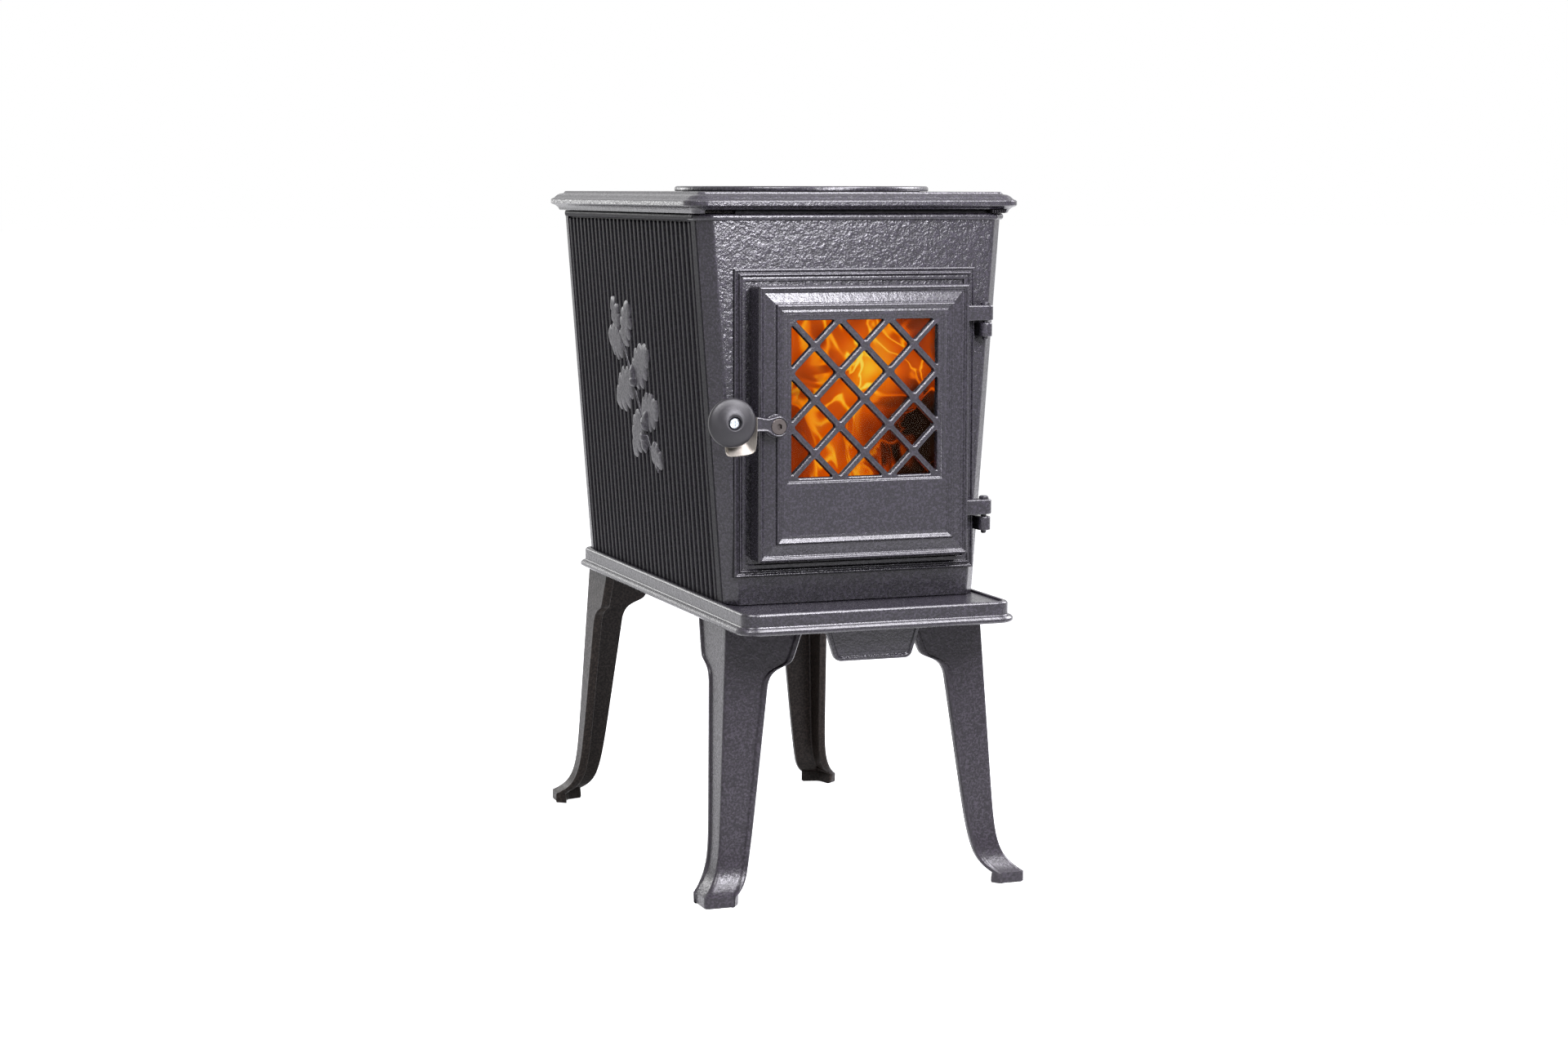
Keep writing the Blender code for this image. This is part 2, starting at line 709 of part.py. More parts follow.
def leg_section(z):
    """The angle section at a height, with its outer corner at the origin and its flanges inwards."""
    width = leg_width(z)
    wall = leg_thickness(z)
    edge = width - LEG_BEAD_WIDTH
    flange = [
        (0.0035, 0.0),
        (edge - LEG_BEAD_HEIGHT, 0.0),
        (edge, -LEG_BEAD_HEIGHT),
        (width - LEG_BEAD_HEIGHT, -LEG_BEAD_HEIGHT),
        (width, 0.0),
        (width, LEG_THICKNESS),
    ]
    other = [(across, along) for along, across in reversed(flange)]
    return [(0.0010, 0.0010)] + flange + [(wall, wall)] + other


def make_leg(corner, rod):
    """One leg under a corner of the stove, bolted up by a tie rod."""
    side = -1 if corner.endswith("left") else 1
    towards = 1 if corner.startswith("front") else -1
    end_y = BODY_FRONT_Y - LEG_AHEAD if towards == 1 else BASE_REAR_Y - LEG_INSET_REAR
    shoulder = [LEG_TOP_Z - drop for drop, _ in LEG_SHOULDER]
    levels = [0.0, TOE_HEIGHT]
    levels += [TOE_HEIGHT + LEG_FLARE_LENGTH * share for share in (0.4, 0.85, 1.4, 2.1, 3.1, 4.6)]
    levels += [0.100, 0.140] + shoulder
    corner_x = side * (BASE_HALF_WIDTH - LEG_INSET_SIDE)
    rings = []
    for z in levels:
        flare = leg_flare(z)
        x = corner_x + side * flare
        y = end_y - towards * flare
        rings.append([(x - side * inward, y + towards * along, z) for inward, along in leg_section(z)])
    leg = loft("leg_" + corner, rings, "painted_casting")
    inset = LEG_THICKNESS / 2
    low = LEG_TOP_Z - LEG_PAD_THICKNESS
    outline = [
        (corner_x - side * inward, end_y + towards * along)
        for inward, along in ((inset, inset), (LEG_PAD, inset), (LEG_PAD, LEG_PAD * 0.7),
                              (LEG_PAD * 0.7, LEG_PAD), (inset, LEG_PAD))
    ]
    pad = prism("pad", outline, "Z", low, LEG_TOP_Z, "painted_casting")
    fuse(leg, pad)
    bore = ROD_RADIUS + ROD_CLEARANCE
    hole = turned("hole", ((low - 0.01, bore), (LEG_TOP_Z + 0.01, bore)), "Z", rod, COARSE, "raw_casting")
    return cut(leg, hole)


def make_legs():
    """Four legs, the front pair under the body's front and not under the ash lip."""
    for corner, rod in ROD_PLACES.items():
        make_leg(corner, rod)


def front_section(z, out):
    """The front plate in plan: chamfered corners and short side returns, with a bead standing out."""
    half = body_half(z)
    inner = half - WALL
    back = BODY_FRONT_Y + WALL
    right = [
        (half - CHAMFER_X + 0.4 * out, BODY_FRONT_Y - out),
        (half + out, BODY_FRONT_Y + CHAMFER_Y - 0.4 * out),
        (half + out, JOINT_Y),
        (inner, JOINT_Y),
        (inner, back + CHAMFER_Y * 0.6),
        (inner - CHAMFER_X * 0.6, back),
    ]
    left = [(-x, y) for x, y in reversed(right)]
    return [(x, y, z) for x, y in right + left]


def frame_ring(inset, height):
    """The door frame moulding at a distance in from its outer edge and a height over the plate."""
    side = FRAME_HALF_WIDTH - inset
    rise = FRAME_HALF_WIDTH - DOOR_HALF_WIDTH - inset
    radius = max(FRAME_CORNER_RADIUS - inset * 0.3, 0.0006)
    outline = rounded_rectangle(-side, side, DOOR_BOTTOM_Z - rise, DOOR_TOP_Z + rise, radius, 2)
    return [(x, BODY_FRONT_Y - height, z) for x, z in outline]


def make_frame_moulding():
    """The raised frame that the door sits in."""
    inner = FRAME_FACE[-1][0]
    steps = ((0.0, -FRAME_ROOT),) + FRAME_FACE + ((inner, -FRAME_ROOT),)
    return loft("moulding", [frame_ring(*step) for step in steps], "painted_casting", closed=True)


def hinge_levels(lug_rise):
    """Heights of one hinge: knuckle bottom and top, lug bottom and top."""
    lug_low = DOOR_BOTTOM_Z + lug_rise
    knuckle_high = lug_low - KNUCKLE_DROP
    return knuckle_high - KNUCKLE_HEIGHT, knuckle_high, lug_low, lug_low + LUG_HEIGHT


def make_knuckle(lug_rise):
    """A knuckle on the front plate: a round eye on a web."""
    low, high, _, _ = hinge_levels(lug_rise)
    radius = KNUCKLE_RADIUS
    eye = arc((HINGE_X, HINGE_Y), radius, 180, 360, 8)
    root = BODY_FRONT_Y + CHAMFER_Y * 0.8
    outline = eye + [(HINGE_X + radius, root), (HINGE_X - radius, root)]
    return prism("knuckle", outline, "Z", low, high, "painted_casting")


def make_front_plate():
    """The front casting: doorway, raised frame, hinge knuckles, top bead and a shelf inside."""
    levels = [(BODY_BOTTOM_Z, 0.0)] + [(BEAD_Z + height, out) for height, out in bead_steps()]
    plate = loft("front_plate", [front_section(z, out) for z, out in levels], "painted_casting")
    shelf_half = body_half(BODY_TOP_Z) - WALL / 2
    shelf = block(
        "shelf",
        (-shelf_half, BODY_FRONT_Y + WALL / 2, BODY_TOP_Z - SHELF_THICKNESS),
        (shelf_half, BODY_FRONT_Y + SHELF_REACH, BODY_TOP_Z), "painted_casting")
    knuckles = [make_knuckle(rise) for rise in LUG_ABOVE_DOOR_BOTTOM]
    fuse(plate, shelf, make_frame_moulding(), *knuckles)
    bore = PIN_RADIUS + PIN_CLEARANCE
    pin_holes = []
    for rise in LUG_ABOVE_DOOR_BOTTOM:
        low, high, _, _ = hinge_levels(rise)
        pin_holes.append(turned("pin_hole", ((low - 0.002, bore), (high + 0.002, bore)), "Z",
                                (HINGE_X, HINGE_Y), COARSE, "raw_casting"))
    side = DOOR_HALF_WIDTH - DOORWAY_INSET
    doorway_outline = rounded_rectangle(
        -side, side, DOOR_BOTTOM_Z + DOORWAY_INSET, DOOR_TOP_Z - DOORWAY_INSET, 0.006, 3)
    doorway = prism("doorway", doorway_outline, "Y", BODY_FRONT_Y - 0.01, BODY_FRONT_Y + WALL + 0.01,
                    "raw_casting")
    peg_bore = PEG_RADIUS + PEG_CLEARANCE
    peg_hole = turned("peg_hole", ((BODY_FRONT_Y - 0.01, peg_bore), (BODY_FRONT_Y + PEG_ROOT + GAP, peg_bore)),
                      "Y", (PEG_X, PEG_Z), COARSE, "raw_casting")
    peg_seat = turned("peg_seat", ((BODY_FRONT_Y - 0.01, PEG_FOOT_RADIUS + GAP),
                                   (BODY_FRONT_Y - GAP, PEG_FOOT_RADIUS + GAP)),
                      "Y", (PEG_X, PEG_Z), MEDIUM, "raw_casting")
    cut(plate, doorway, peg_hole, peg_seat, *pin_holes, *air_ports("port", BODY_TOP_Z - 0.02, BODY_TOP_Z + 0.01))
    return plate


def air_ports(name, low, high):
    """Cutters for the row of slots that the air passes through."""
    middle = BODY_FRONT_Y + WALL + AIR_PORT_WIDTH
    ports = []
    for place in (-1, 0, 1):
        centre = place * AIR_PORT_SPACING
        ports.append(block(name, (centre - AIR_PORT_LENGTH / 2, middle, low),
                           (centre + AIR_PORT_LENGTH / 2, middle + AIR_PORT_WIDTH, high), "raw_casting"))
    return ports


def rib_outline():
    """Half-round ribs along the outside of a side plate: depth below the crests, and place along Y."""
    start = JOINT_Y + GAP
    end = REAR_PLATE_Y - GAP
    pitch = (end - start) / RIB_COUNT
    points = [(-RIB_HEIGHT, start)]
    for rib in range(RIB_COUNT):
        middle = start + pitch * (rib + 0.5)
        half = pitch * RIB_SHARE / 2
        for share, height in ((-1.0, 0.0), (-0.62, 0.72), (0.0, 1.0), (0.62, 0.72), (1.0, 0.0)):
            points.append((-RIB_HEIGHT * (1 - height), middle + half * share))
    points.append((-RIB_HEIGHT, end))
    return points


def make_side_plate(name, side):
    """A side casting: ribbed outside, smooth inside, with a bead along its top edge."""
    outline = rib_outline()
    outline += [(-WALL, outline[-1][1]), (-WALL, outline[0][1])]
    rib_top = BEAD_Z + RIB_TOP_DROP
    rings = []
    for z in (BODY_BOTTOM_Z, rib_top):
        rings.append([(side * (body_half(z) + depth), y, z) for depth, y in outline])
    plate = loft(name, rings, "painted_casting")
    half = body_half(BODY_TOP_Z)
    profile = [(side * (half + out), BEAD_Z + height) for height, out in bead_steps()]
    profile += [(side * (body_half(BODY_TOP_Z) - WALL), BODY_TOP_Z), (side * (body_half(BEAD_Z) - WALL), BEAD_Z)]
    bead = prism("bead", [(x, z) for x, z in profile], "Y", outline[0][1], outline[-3][1], "painted_casting")
    return fuse(plate, bead)


def make_rear_plate():
    """The rear casting, with the flue opening."""
    rings = []
    for z in (BODY_BOTTOM_Z, BODY_TOP_Z):
        half = body_half(z)
        rings.append([(-half, REAR_PLATE_Y, z), (half, REAR_PLATE_Y, z), (half, BODY_REAR_Y, z),
                      (-half, BODY_REAR_Y, z)])
    plate = loft("rear_plate", rings, "painted_casting")
    profile = [(BODY_REAR_Y + out, BEAD_Z + height) for height, out in bead_steps()]
    profile += [(REAR_PLATE_Y + WALL / 2, BODY_TOP_Z), (REAR_PLATE_Y + WALL / 2, BEAD_Z)]
    half = body_half(BEAD_Z)
    bead = prism("bead", profile, "X", -half, half, "painted_casting")
    fuse(plate, bead)
    opening = turned("opening", ((REAR_PLATE_Y - 0.01, FLUE_BORE_RADIUS), (BODY_REAR_Y + 0.01, FLUE_BORE_RADIUS)),
                     "Y", (0.0, FLUE_Z), FINE, "raw_casting")
    bore = FLUE_SCREW_RADIUS + SCREW_CLEARANCE
    holes = [turned("screw_hole", ((REAR_PLATE_Y + 0.0015, bore), (BODY_REAR_Y + 0.01, bore)), "Y", place,
                    COARSE, "raw_casting") for place in flue_screw_places()]
    return cut(plate, opening, *holes)


def top_ring(inset, z):
    """The top plate's outline, drawn in by an inset."""
    radius = max(TOP_CORNER_RADIUS - inset, 0.003)
    outline = rounded_rectangle(
        -TOP_HALF_WIDTH + inset, TOP_HALF_WIDTH - inset,
        TOP_FRONT_Y + inset, TOP_REAR_Y - inset, radius, 4)
    return [(x, y, z) for x, y in outline]


def seat_ring(z):
    """The inner edge of the seat that the top plate rests on the body with."""
    half = BODY_TOP_HALF_WIDTH - SEAT_WIDTH
    outline = rounded_rectangle(
        -half, half, BODY_FRONT_Y + SHELF_REACH - 0.003, BODY_REAR_Y - SEAT_WIDTH - 0.0006, 0.003, 4)
    return [(x, y, z) for x, y in outline]


def make_top_plate():
    """The top casting: flat field, step, ogee, lip and cove, open below, with the round hob hole."""
    steps = (
        (0.0145, TOP_Z),
        (0.0128, TOP_Z - 0.0022),
        (0.0092, TOP_Z - 0.0026),
        (0.0062, TOP_Z - 0.0040),
        (0.0030, TOP_Z - 0.0068),
        (0.0008, TOP_Z - 0.0076),
        (0.0, TOP_Z - 0.0086),
        (0.0, TOP_Z - 0.0120),
        (0.0012, TOP_Z - 0.0130),
        (0.0045, TOP_Z - 0.0142),
        (0.0072, TOP_Z - 0.0164),
        (0.0084, SEAT_Z + 0.0005),
        (0.0090, SEAT_Z),
    )
    rings = [top_ring(inset, z) for inset, z in steps]
    rings += [seat_ring(SEAT_Z), seat_ring(TOP_UNDER_Z)]
    plate = loft("top_plate", rings, "painted_casting")
    bosses = [turned("boss", ((TOP_UNDER_Z - ROD_BOSS_HEIGHT, ROD_BOSS_RADIUS),
                              (TOP_UNDER_Z + 0.002, ROD_BOSS_RADIUS)), "Z", place, COARSE, "painted_casting")
              for place in ROD_PLACES.values()]
    fuse(plate, *bosses)
    bore = ROD_RADIUS + ROD_CLEARANCE
    rod_holes = [turned("rod_hole", ((SEAT_Z - 0.01, bore), (TOP_UNDER_Z + GAP, bore)), "Z", place, COARSE,
                        "raw_casting") for place in ROD_PLACES.values()]
    hob_bore = LID_SPIGOT_RADIUS + GAP
    hob = turned("hob", ((TOP_UNDER_Z - 0.01, hob_bore), (TOP_Z + 0.01, hob_bore)), "Z",
                 (0.0, LID_CENTRE_Y), FINE, "raw_casting")
    slot = block("slot", (-SLOT_HALF_LENGTH, BODY_FRONT_Y - 0.0080, SEAT_Z - 0.003),
                 (SLOT_HALF_LENGTH, BODY_FRONT_Y + SLOT_DEPTH, SEAT_Z + SLOT_HEIGHT), "raw_casting")
    groove = loft("groove", rope_rings(GAP, SEAT_Z - 0.003, SEAT_Z + ROPE_HEIGHT + GAP), "raw_casting",
                  closed=True)
    return cut(plate, hob, slot, groove, *rod_holes)


def rope_rings(out, low, high):
    """Rings round the rope seal under the top plate: out widens them into its groove."""
    half = BODY_TOP_HALF_WIDTH - ROPE_EDGE
    front = BODY_FRONT_Y + ROPE_FRONT_SETBACK
    rear = BODY_REAR_Y - ROPE_EDGE

    def ring(inset, z):
        outline = rounded_rectangle(-half + inset, half - inset, front + inset, rear - inset, 0.004, 3)
        return [(x, y, z) for x, y in outline]

    wide = -out
    narrow = ROPE_WIDTH + out
    return [ring(wide, low), ring(narrow, low), ring(narrow, high), ring(wide, high)]


def make_top_seal():
    """The rope seal between body and top plate."""
    return loft("top_seal", rope_rings(0.0, SEAT_Z, SEAT_Z + ROPE_HEIGHT), "rope_seal", closed=True)


def make_hob_lid():
    """The round lid: a rimmed disc with a spigot, and a slot for the lifter."""
    low = TOP_Z + GAP
    high = TOP_Z + LID_PROUD
    stations = (
        (high, LID_RADIUS - 0.0160),
        (high, LID_RADIUS - 0.0016),
        (high - 0.0014, LID_RADIUS),
        (low + 0.0004, LID_RADIUS),
        (low, LID_RADIUS - 0.0006),
        (low, LID_SPIGOT_RADIUS),
        (TOP_Z - LID_SPIGOT_DEPTH, LID_SPIGOT_RADIUS - 0.0010),
    )
    lid = turned("hob_lid", stations, "Z", (0.0, LID_CENTRE_Y), FINE, "painted_casting")
    middle = LID_CENTRE_Y - LID_RADIUS * 0.72
    slot_outline = rounded_rectangle(
        -LID_SLOT_LENGTH / 2, LID_SLOT_LENGTH / 2, middle - LID_SLOT_WIDTH / 2, middle + LID_SLOT_WIDTH / 2,
        LID_SLOT_WIDTH * 0.45, 4)
    slot = prism("slot", slot_outline, "Z", high - LID_SLOT_DEPTH, high + 0.01, "raw_casting")
    cut(lid, slot)
    hang_on(pivot("hob_lid_lift", (0.0, LID_CENTRE_Y, TOP_Z)), lid)
    return lid


def make_air_slider():
    """A flat bar that slides over the ports, with a serrated tab at its right end."""
    low = SEAT_Z
    high = SEAT_Z + SLIDER_THICKNESS
    front = BODY_FRONT_Y + GAP
    back = BODY_FRONT_Y + SLOT_DEPTH - 2 * GAP
    right = SLIDER_RIGHT_X + TAB_LENGTH
    tip = BODY_FRONT_Y - TAB_REACH
    outline = [(SLIDER_LEFT_X, front), (SLIDER_RIGHT_X, front)]
    pitch = TAB_LENGTH / TAB_TEETH
    for tooth in range(TAB_TEETH):
        outline.append((SLIDER_RIGHT_X + pitch * (tooth + 0.1), tip + TAB_TOOTH_DEPTH))
        outline.append((SLIDER_RIGHT_X + pitch * (tooth + 0.4), tip))
        outline.append((SLIDER_RIGHT_X + pitch * (tooth + 0.7), tip))
    outline += [(right, tip + TAB_TOOTH_DEPTH), (right, back), (SLIDER_LEFT_X, back)]
    slider = prism("air_slider", outline, "Z", low, high, "painted_casting")
    hang_on(pivot("air_slide", (SLIDER_RIGHT_X, BODY_FRONT_Y, SEAT_Z)), slider)
    return slider


def make_tie_rods():
    """Four rods from the legs up into the top plate, and their nuts under the legs."""
    high = TOP_UNDER_Z - GAP
    low = NUT_TOP_Z - NUT_HEIGHT - ROD_END
    bore = ROD_RADIUS + GAP
    for corner, place in ROD_PLACES.items():
        turned("tie_rod_" + corner, ((low, ROD_RADIUS), (high, ROD_RADIUS)), "Z", place, COARSE, "dark_steel")
        nut = turned("tie_rod_nut_" + corner, ((NUT_TOP_Z - NUT_HEIGHT, NUT_RADIUS), (NUT_TOP_Z, NUT_RADIUS)),
                     "Z", place, HEX, "bright_zinc")
        cut(nut, turned("hole", ((NUT_TOP_Z - 0.02, bore), (NUT_TOP_Z + 0.01, bore)), "Z", place, COARSE,
                        "bright_zinc"))


def flue_screw_places():
    """Screws round the flue collar's flange."""
    radius = (FLUE_RADIUS + FLUE_FLANGE_RADIUS) / 2
    places = []
    for number in range(FLUE_SCREWS):
        angle = 2 * math.pi * (number + 0.25) / FLUE_SCREWS
        places.append((radius * math.cos(angle), FLUE_Z + radius * math.sin(angle)))
    return places


def make_flue_collar():
    """The collar that takes the stove pipe, and the screws in its flange."""
    seat = BODY_REAR_Y + GAP
    flange = seat + FLUE_FLANGE_THICKNESS
    end = BODY_REAR_Y + FLUE_LENGTH
    stations = (
        (seat, FLUE_BORE_RADIUS),
        (seat, FLUE_FLANGE_RADIUS),
        (flange - 0.0010, FLUE_FLANGE_RADIUS),
        (flange, FLUE_FLANGE_RADIUS - 0.0010),
        (flange, FLUE_RADIUS + 0.0010),
        (flange + 0.0010, FLUE_RADIUS),
        (end, FLUE_RADIUS),
        (end, FLUE_BORE_RADIUS),
    )
    collar = turned("flue_collar", stations, "Y", (0.0, FLUE_Z), FINE, "painted_casting", closed=True)
    bore = FLUE_SCREW_RADIUS + SCREW_CLEARANCE
    holes = []
    head_low = flange + GAP
    for number, place in enumerate(flue_screw_places(), start=1):
        holes.append(turned("hole", ((seat - 0.01, bore), (flange + 0.01, bore)), "Y", place, COARSE, "raw_casting"))
        stations = (
            (head_low - FLUE_SCREW_LENGTH, FLUE_SCREW_RADIUS),
            (head_low, FLUE_SCREW_RADIUS),
            (head_low, FLUE_SCREW_HEAD_RADIUS),
            (head_low + FLUE_SCREW_HEAD_HEIGHT * 0.6, FLUE_SCREW_HEAD_RADIUS),
            (head_low + FLUE_SCREW_HEAD_HEIGHT, FLUE_SCREW_HEAD_RADIUS * 0.6),
        )
        turned(f"flue_screw_{number}", stations, "Y", place, COARSE, "dark_steel")
    cut(collar, *holes)


def make_lining():
    """Hearth plate, burn plates, baffle and log retainer: the loose castings inside the firebox."""
    hearth_half = BODY_BOTTOM_HALF_WIDTH - WALL - LINING_GAP
    block("hearth_plate", (-hearth_half, HEARTH_FRONT_Y, FLOOR_Z + GAP),
          (hearth_half, HEARTH_REAR_Y, HEARTH_TOP_Z), "raw_casting")
    low = HEARTH_TOP_Z + GAP
    high = BODY_TOP_Z - LINING_TOP_DROP
    rear_front = HEARTH_REAR_Y - LINING_THICKNESS
    for name, side in (("burn_plate_left", -1), ("burn_plate_right", 1)):
        rings = []
        for z in (low, high):
            outer = side * (body_half(z) - WALL - LINING_GAP)
            inner = outer - side * LINING_THICKNESS
            rings.append([(outer, HEARTH_FRONT_Y + LINING_END_GAP, z), (inner, HEARTH_FRONT_Y + LINING_END_GAP, z),
                          (inner, rear_front - GAP, z), (outer, rear_front - GAP, z)])
        loft(name, rings, "raw_casting")
    rear_half = body_half(low) - WALL - LINING_GAP
    block("burn_plate_rear", (-rear_half, rear_front, low), (rear_half, HEARTH_REAR_Y - GAP, low + REAR_LINING_RISE),
          "raw_casting")
    baffle_half = body_half(high) - WALL - LINING_GAP
    block("baffle_plate", (-baffle_half, HEARTH_FRONT_Y + BAFFLE_FRONT_GAP, high + GAP),
          (baffle_half, HEARTH_REAR_Y, high + GAP + BAFFLE_THICKNESS), "raw_casting")
    retainer_half = body_half(low) - WALL - LINING_GAP - LINING_THICKNESS - LINING_GAP
    foot = HEARTH_FRONT_Y + RETAINER_SETBACK
    profile = [(foot - RETAINER_THICKNESS, low), (foot + RETAINER_FOOT, low), (foot, low + RETAINER_FILLET),
               (foot, low + RETAINER_HEIGHT), (foot - RETAINER_THICKNESS, low + RETAINER_HEIGHT)]
    prism("log_retainer", profile, "X", -retainer_half, retainer_half, "raw_casting")


def door_ring(inset, y, radius=None):
    """The door's outline at a distance in from its edge."""
    if radius is None:
        radius = max(DOOR_CORNER_RADIUS - inset, 0.0005)
    side = DOOR_HALF_WIDTH - inset
    outline = rounded_rectangle(-side, side, DOOR_BOTTOM_Z + inset, DOOR_TOP_Z - inset, radius, 2)
    return [(x, y, z) for x, z in outline]


def lattice_cell(column, row):
    """One opening of the lattice as an outline, or nothing where bars cross."""
    if (column + row) % 2 == 0:
        return None
    width = 2 * WINDOW_HALF_WIDTH / LATTICE_CELLS
    height = WINDOW_HEIGHT / LATTICE_CELLS
    x = -WINDOW_HALF_WIDTH + column * width
    z = WINDOW_BOTTOM_Z + row * height
    across = BAR_WIDTH / 2 * math.hypot(width, height) / height
    up = across * height / width
    tips = []
    if column < LATTICE_CELLS:
        tips.append(((width - across), 0.0))
    if row < LATTICE_CELLS:
        tips.append((0.0, (height - up)))
    if column > 0:
        tips.append((-(width - across), 0.0))
    if row > 0:
        tips.append((0.0, -(height - up)))
    if column == 0:
        tips = [(0.0, height - up), (0.0, -(height - up)), (width - across, 0.0)]
    if column == LATTICE_CELLS:
        tips = [(0.0, -(height - up)), (0.0, height - up), (-(width - across), 0.0)]
    if row == 0:
        tips = [(-(width - across), 0.0), (width - across, 0.0), (0.0, height - up)]
    if row == LATTICE_CELLS:
        tips = [(width - across, 0.0), (-(width - across), 0.0), (0.0, -(height - up))]
    outline = []
    for number, tip in enumerate(tips):
        here = Vector(tip)
        for neighbour in (tips[number - 1], tips[(number + 1) % len(tips)]):
            away = Vector(neighbour) - here
            outline.append(here + away.normalized() * CELL_CORNER)
    return [(x + point.x, z + point.y) for point in outline]


def lattice_cutter():
    """All openings of the lattice as one cutter."""
    cells = []
    for column in range(LATTICE_CELLS + 1):
        for row in range(LATTICE_CELLS + 1):
            outline = lattice_cell(column, row)
            if outline:
                cells.append(prism("cell", outline, "Y", PANEL_Y - 0.01, PANEL_BACK_Y + 0.01, "raw_casting"))
    return gather("lattice", cells, "raw_casting")


def make_lug(lug_rise):
    """A hinge lug on the door: a bar with a round end about the pin."""
    _, _, low, high = hinge_levels(lug_rise)
    tip = arc((HINGE_X, HINGE_Y), LUG_RADIUS, -90, 90, 8)
    back = HINGE_Y + LUG_RADIUS
    front = HINGE_Y - LUG_RADIUS
    root = DOOR_HALF_WIDTH - 0.003
    outline = tip + [(HINGE_X - 0.006, back), (DOOR_HALF_WIDTH + 0.003, back - 0.0015), (root, back - 0.0015),
                     (root, front), ]
    return prism("lug", outline, "Z", low, high, "painted_casting")


def clip_heights():
    """Heights of the glass clips."""
    return [GLASS_BOTTOM_Z + share * (GLASS_TOP_Z - GLASS_BOTTOM_Z) for share in CLIP_HEIGHTS]


def clip_places():
    """Number, side and height of each glass clip."""
    sides_and_heights = [(side, z) for side in (-1, 1) for z in clip_heights()]
    return [(number, side, z) for number, (side, z) in enumerate(sides_and_heights, start=1)]


def clip_screw_x(side):
    """Where a clip's screw goes: between the glass and the door's inner wall."""
    return side * (GLASS_HALF_WIDTH + (door_recess_half() - GLASS_HALF_WIDTH) / 2)


def door_recess_half():
    """Half the width of the recess in the door's back."""
    return DOOR_HALF_WIDTH - RIM_WALL - CHANNEL_WIDTH - INNER_RIB_WIDTH - 0.0005


def make_door():
    """The door casting: moulded face, lattice, rope channel behind, hinge lugs and latch boss."""
    channel_y = DOOR_BACK_Y - CHANNEL_DEPTH
    rib_y = DOOR_BACK_Y - INNER_RIB_SETBACK
    rib_in = RIM_WALL + CHANNEL_WIDTH
    rings = [door_ring(inset, DOOR_BEAD_Y - height) for inset, height in DOOR_FACE]
    rings += [
        door_ring(0.0, DOOR_BACK_Y),
        door_ring(RIM_WALL, DOOR_BACK_Y, 0.001),
        door_ring(RIM_WALL, channel_y, 0.001),
        door_ring(rib_in, channel_y, 0.001),
        door_ring(rib_in, rib_y, 0.001),
        door_ring(rib_in + INNER_RIB_WIDTH, rib_y, 0.001),
        door_ring(rib_in + INNER_RIB_WIDTH + 0.0005, PANEL_BACK_Y, 0.001),
    ]
    door = loft("door", rings, "painted_casting")
    divider_z = WINDOW_BOTTOM_Z - DIVIDER_DROP
    divider_half = DOOR_HALF_WIDTH - DOOR_FACE[0][0] + 0.0005
    divider = block("divider", (-divider_half, PANEL_Y - DIVIDER_PROUD, divider_z - DIVIDER_HALF_HEIGHT),
                    (divider_half, PANEL_Y + 0.002, divider_z + DIVIDER_HALF_HEIGHT), "painted_casting")
    boss = turned("boss", ((PANEL_Y + 0.002, LATCH_BOSS_RADIUS), (LATCH_BOSS_Y + 0.0006, LATCH_BOSS_RADIUS),
                           (LATCH_BOSS_Y, LATCH_BOSS_RADIUS - 0.0006)), "Y", (LATCH_X, LATCH_Z), MEDIUM,
                  "painted_casting")
    clip_bosses = []
    for number, side, z in clip_places():
        inner = side * (GLASS_HALF_WIDTH + CLIP_EDGE)
        outer = side * (door_recess_half() + 0.0015)
        clip_bosses.append(block(
            "clip_boss", (min(inner, outer), PANEL_BACK_Y - 0.001, z - CLIP_BOSS_HALF_HEIGHT),
            (max(inner, outer), GLASS_BACK_Y, z + CLIP_BOSS_HALF_HEIGHT), "painted_casting"))
    lugs = [make_lug(rise) for rise in LUG_ABOVE_DOOR_BOTTOM]
    fuse(door, divider, boss, *clip_bosses, *lugs)
    bore = PIN_RADIUS + PIN_CLEARANCE
    tools = [lattice_cutter()]
    for rise in LUG_ABOVE_DOOR_BOTTOM:
        _, _, low, high = hinge_levels(rise)
        tools.append(turned("pin_hole", ((low - 0.002, bore), (high + 0.002, bore)), "Z", (HINGE_X, HINGE_Y),
                            COARSE, "raw_casting"))
    screw_bore = LATCH_SCREW_RADIUS + SCREW_CLEARANCE
    screw_end = ARM_FRONT_Y + LATCH_SCREW_LENGTH + GAP
    tools.append(turned("screw_hole", ((LATCH_BOSS_Y - 0.01, screw_bore), (screw_end, screw_bore)), "Y",
                        (LATCH_X, LATCH_Z), COARSE, "raw_casting"))
    clip_bore = CLIP_SCREW_RADIUS + GAP
    clip_end = CLIP_Y + CLIP_THICKNESS + GAP - CLIP_SCREW_LENGTH - GAP
    for number, side, z in clip_places():
        tools.append(turned("clip_hole", ((clip_end, clip_bore), (GLASS_BACK_Y + 0.01, clip_bore)), "Y",
                            (clip_screw_x(side), z), COARSE, "raw_casting"))
    return cut(door, *tools)


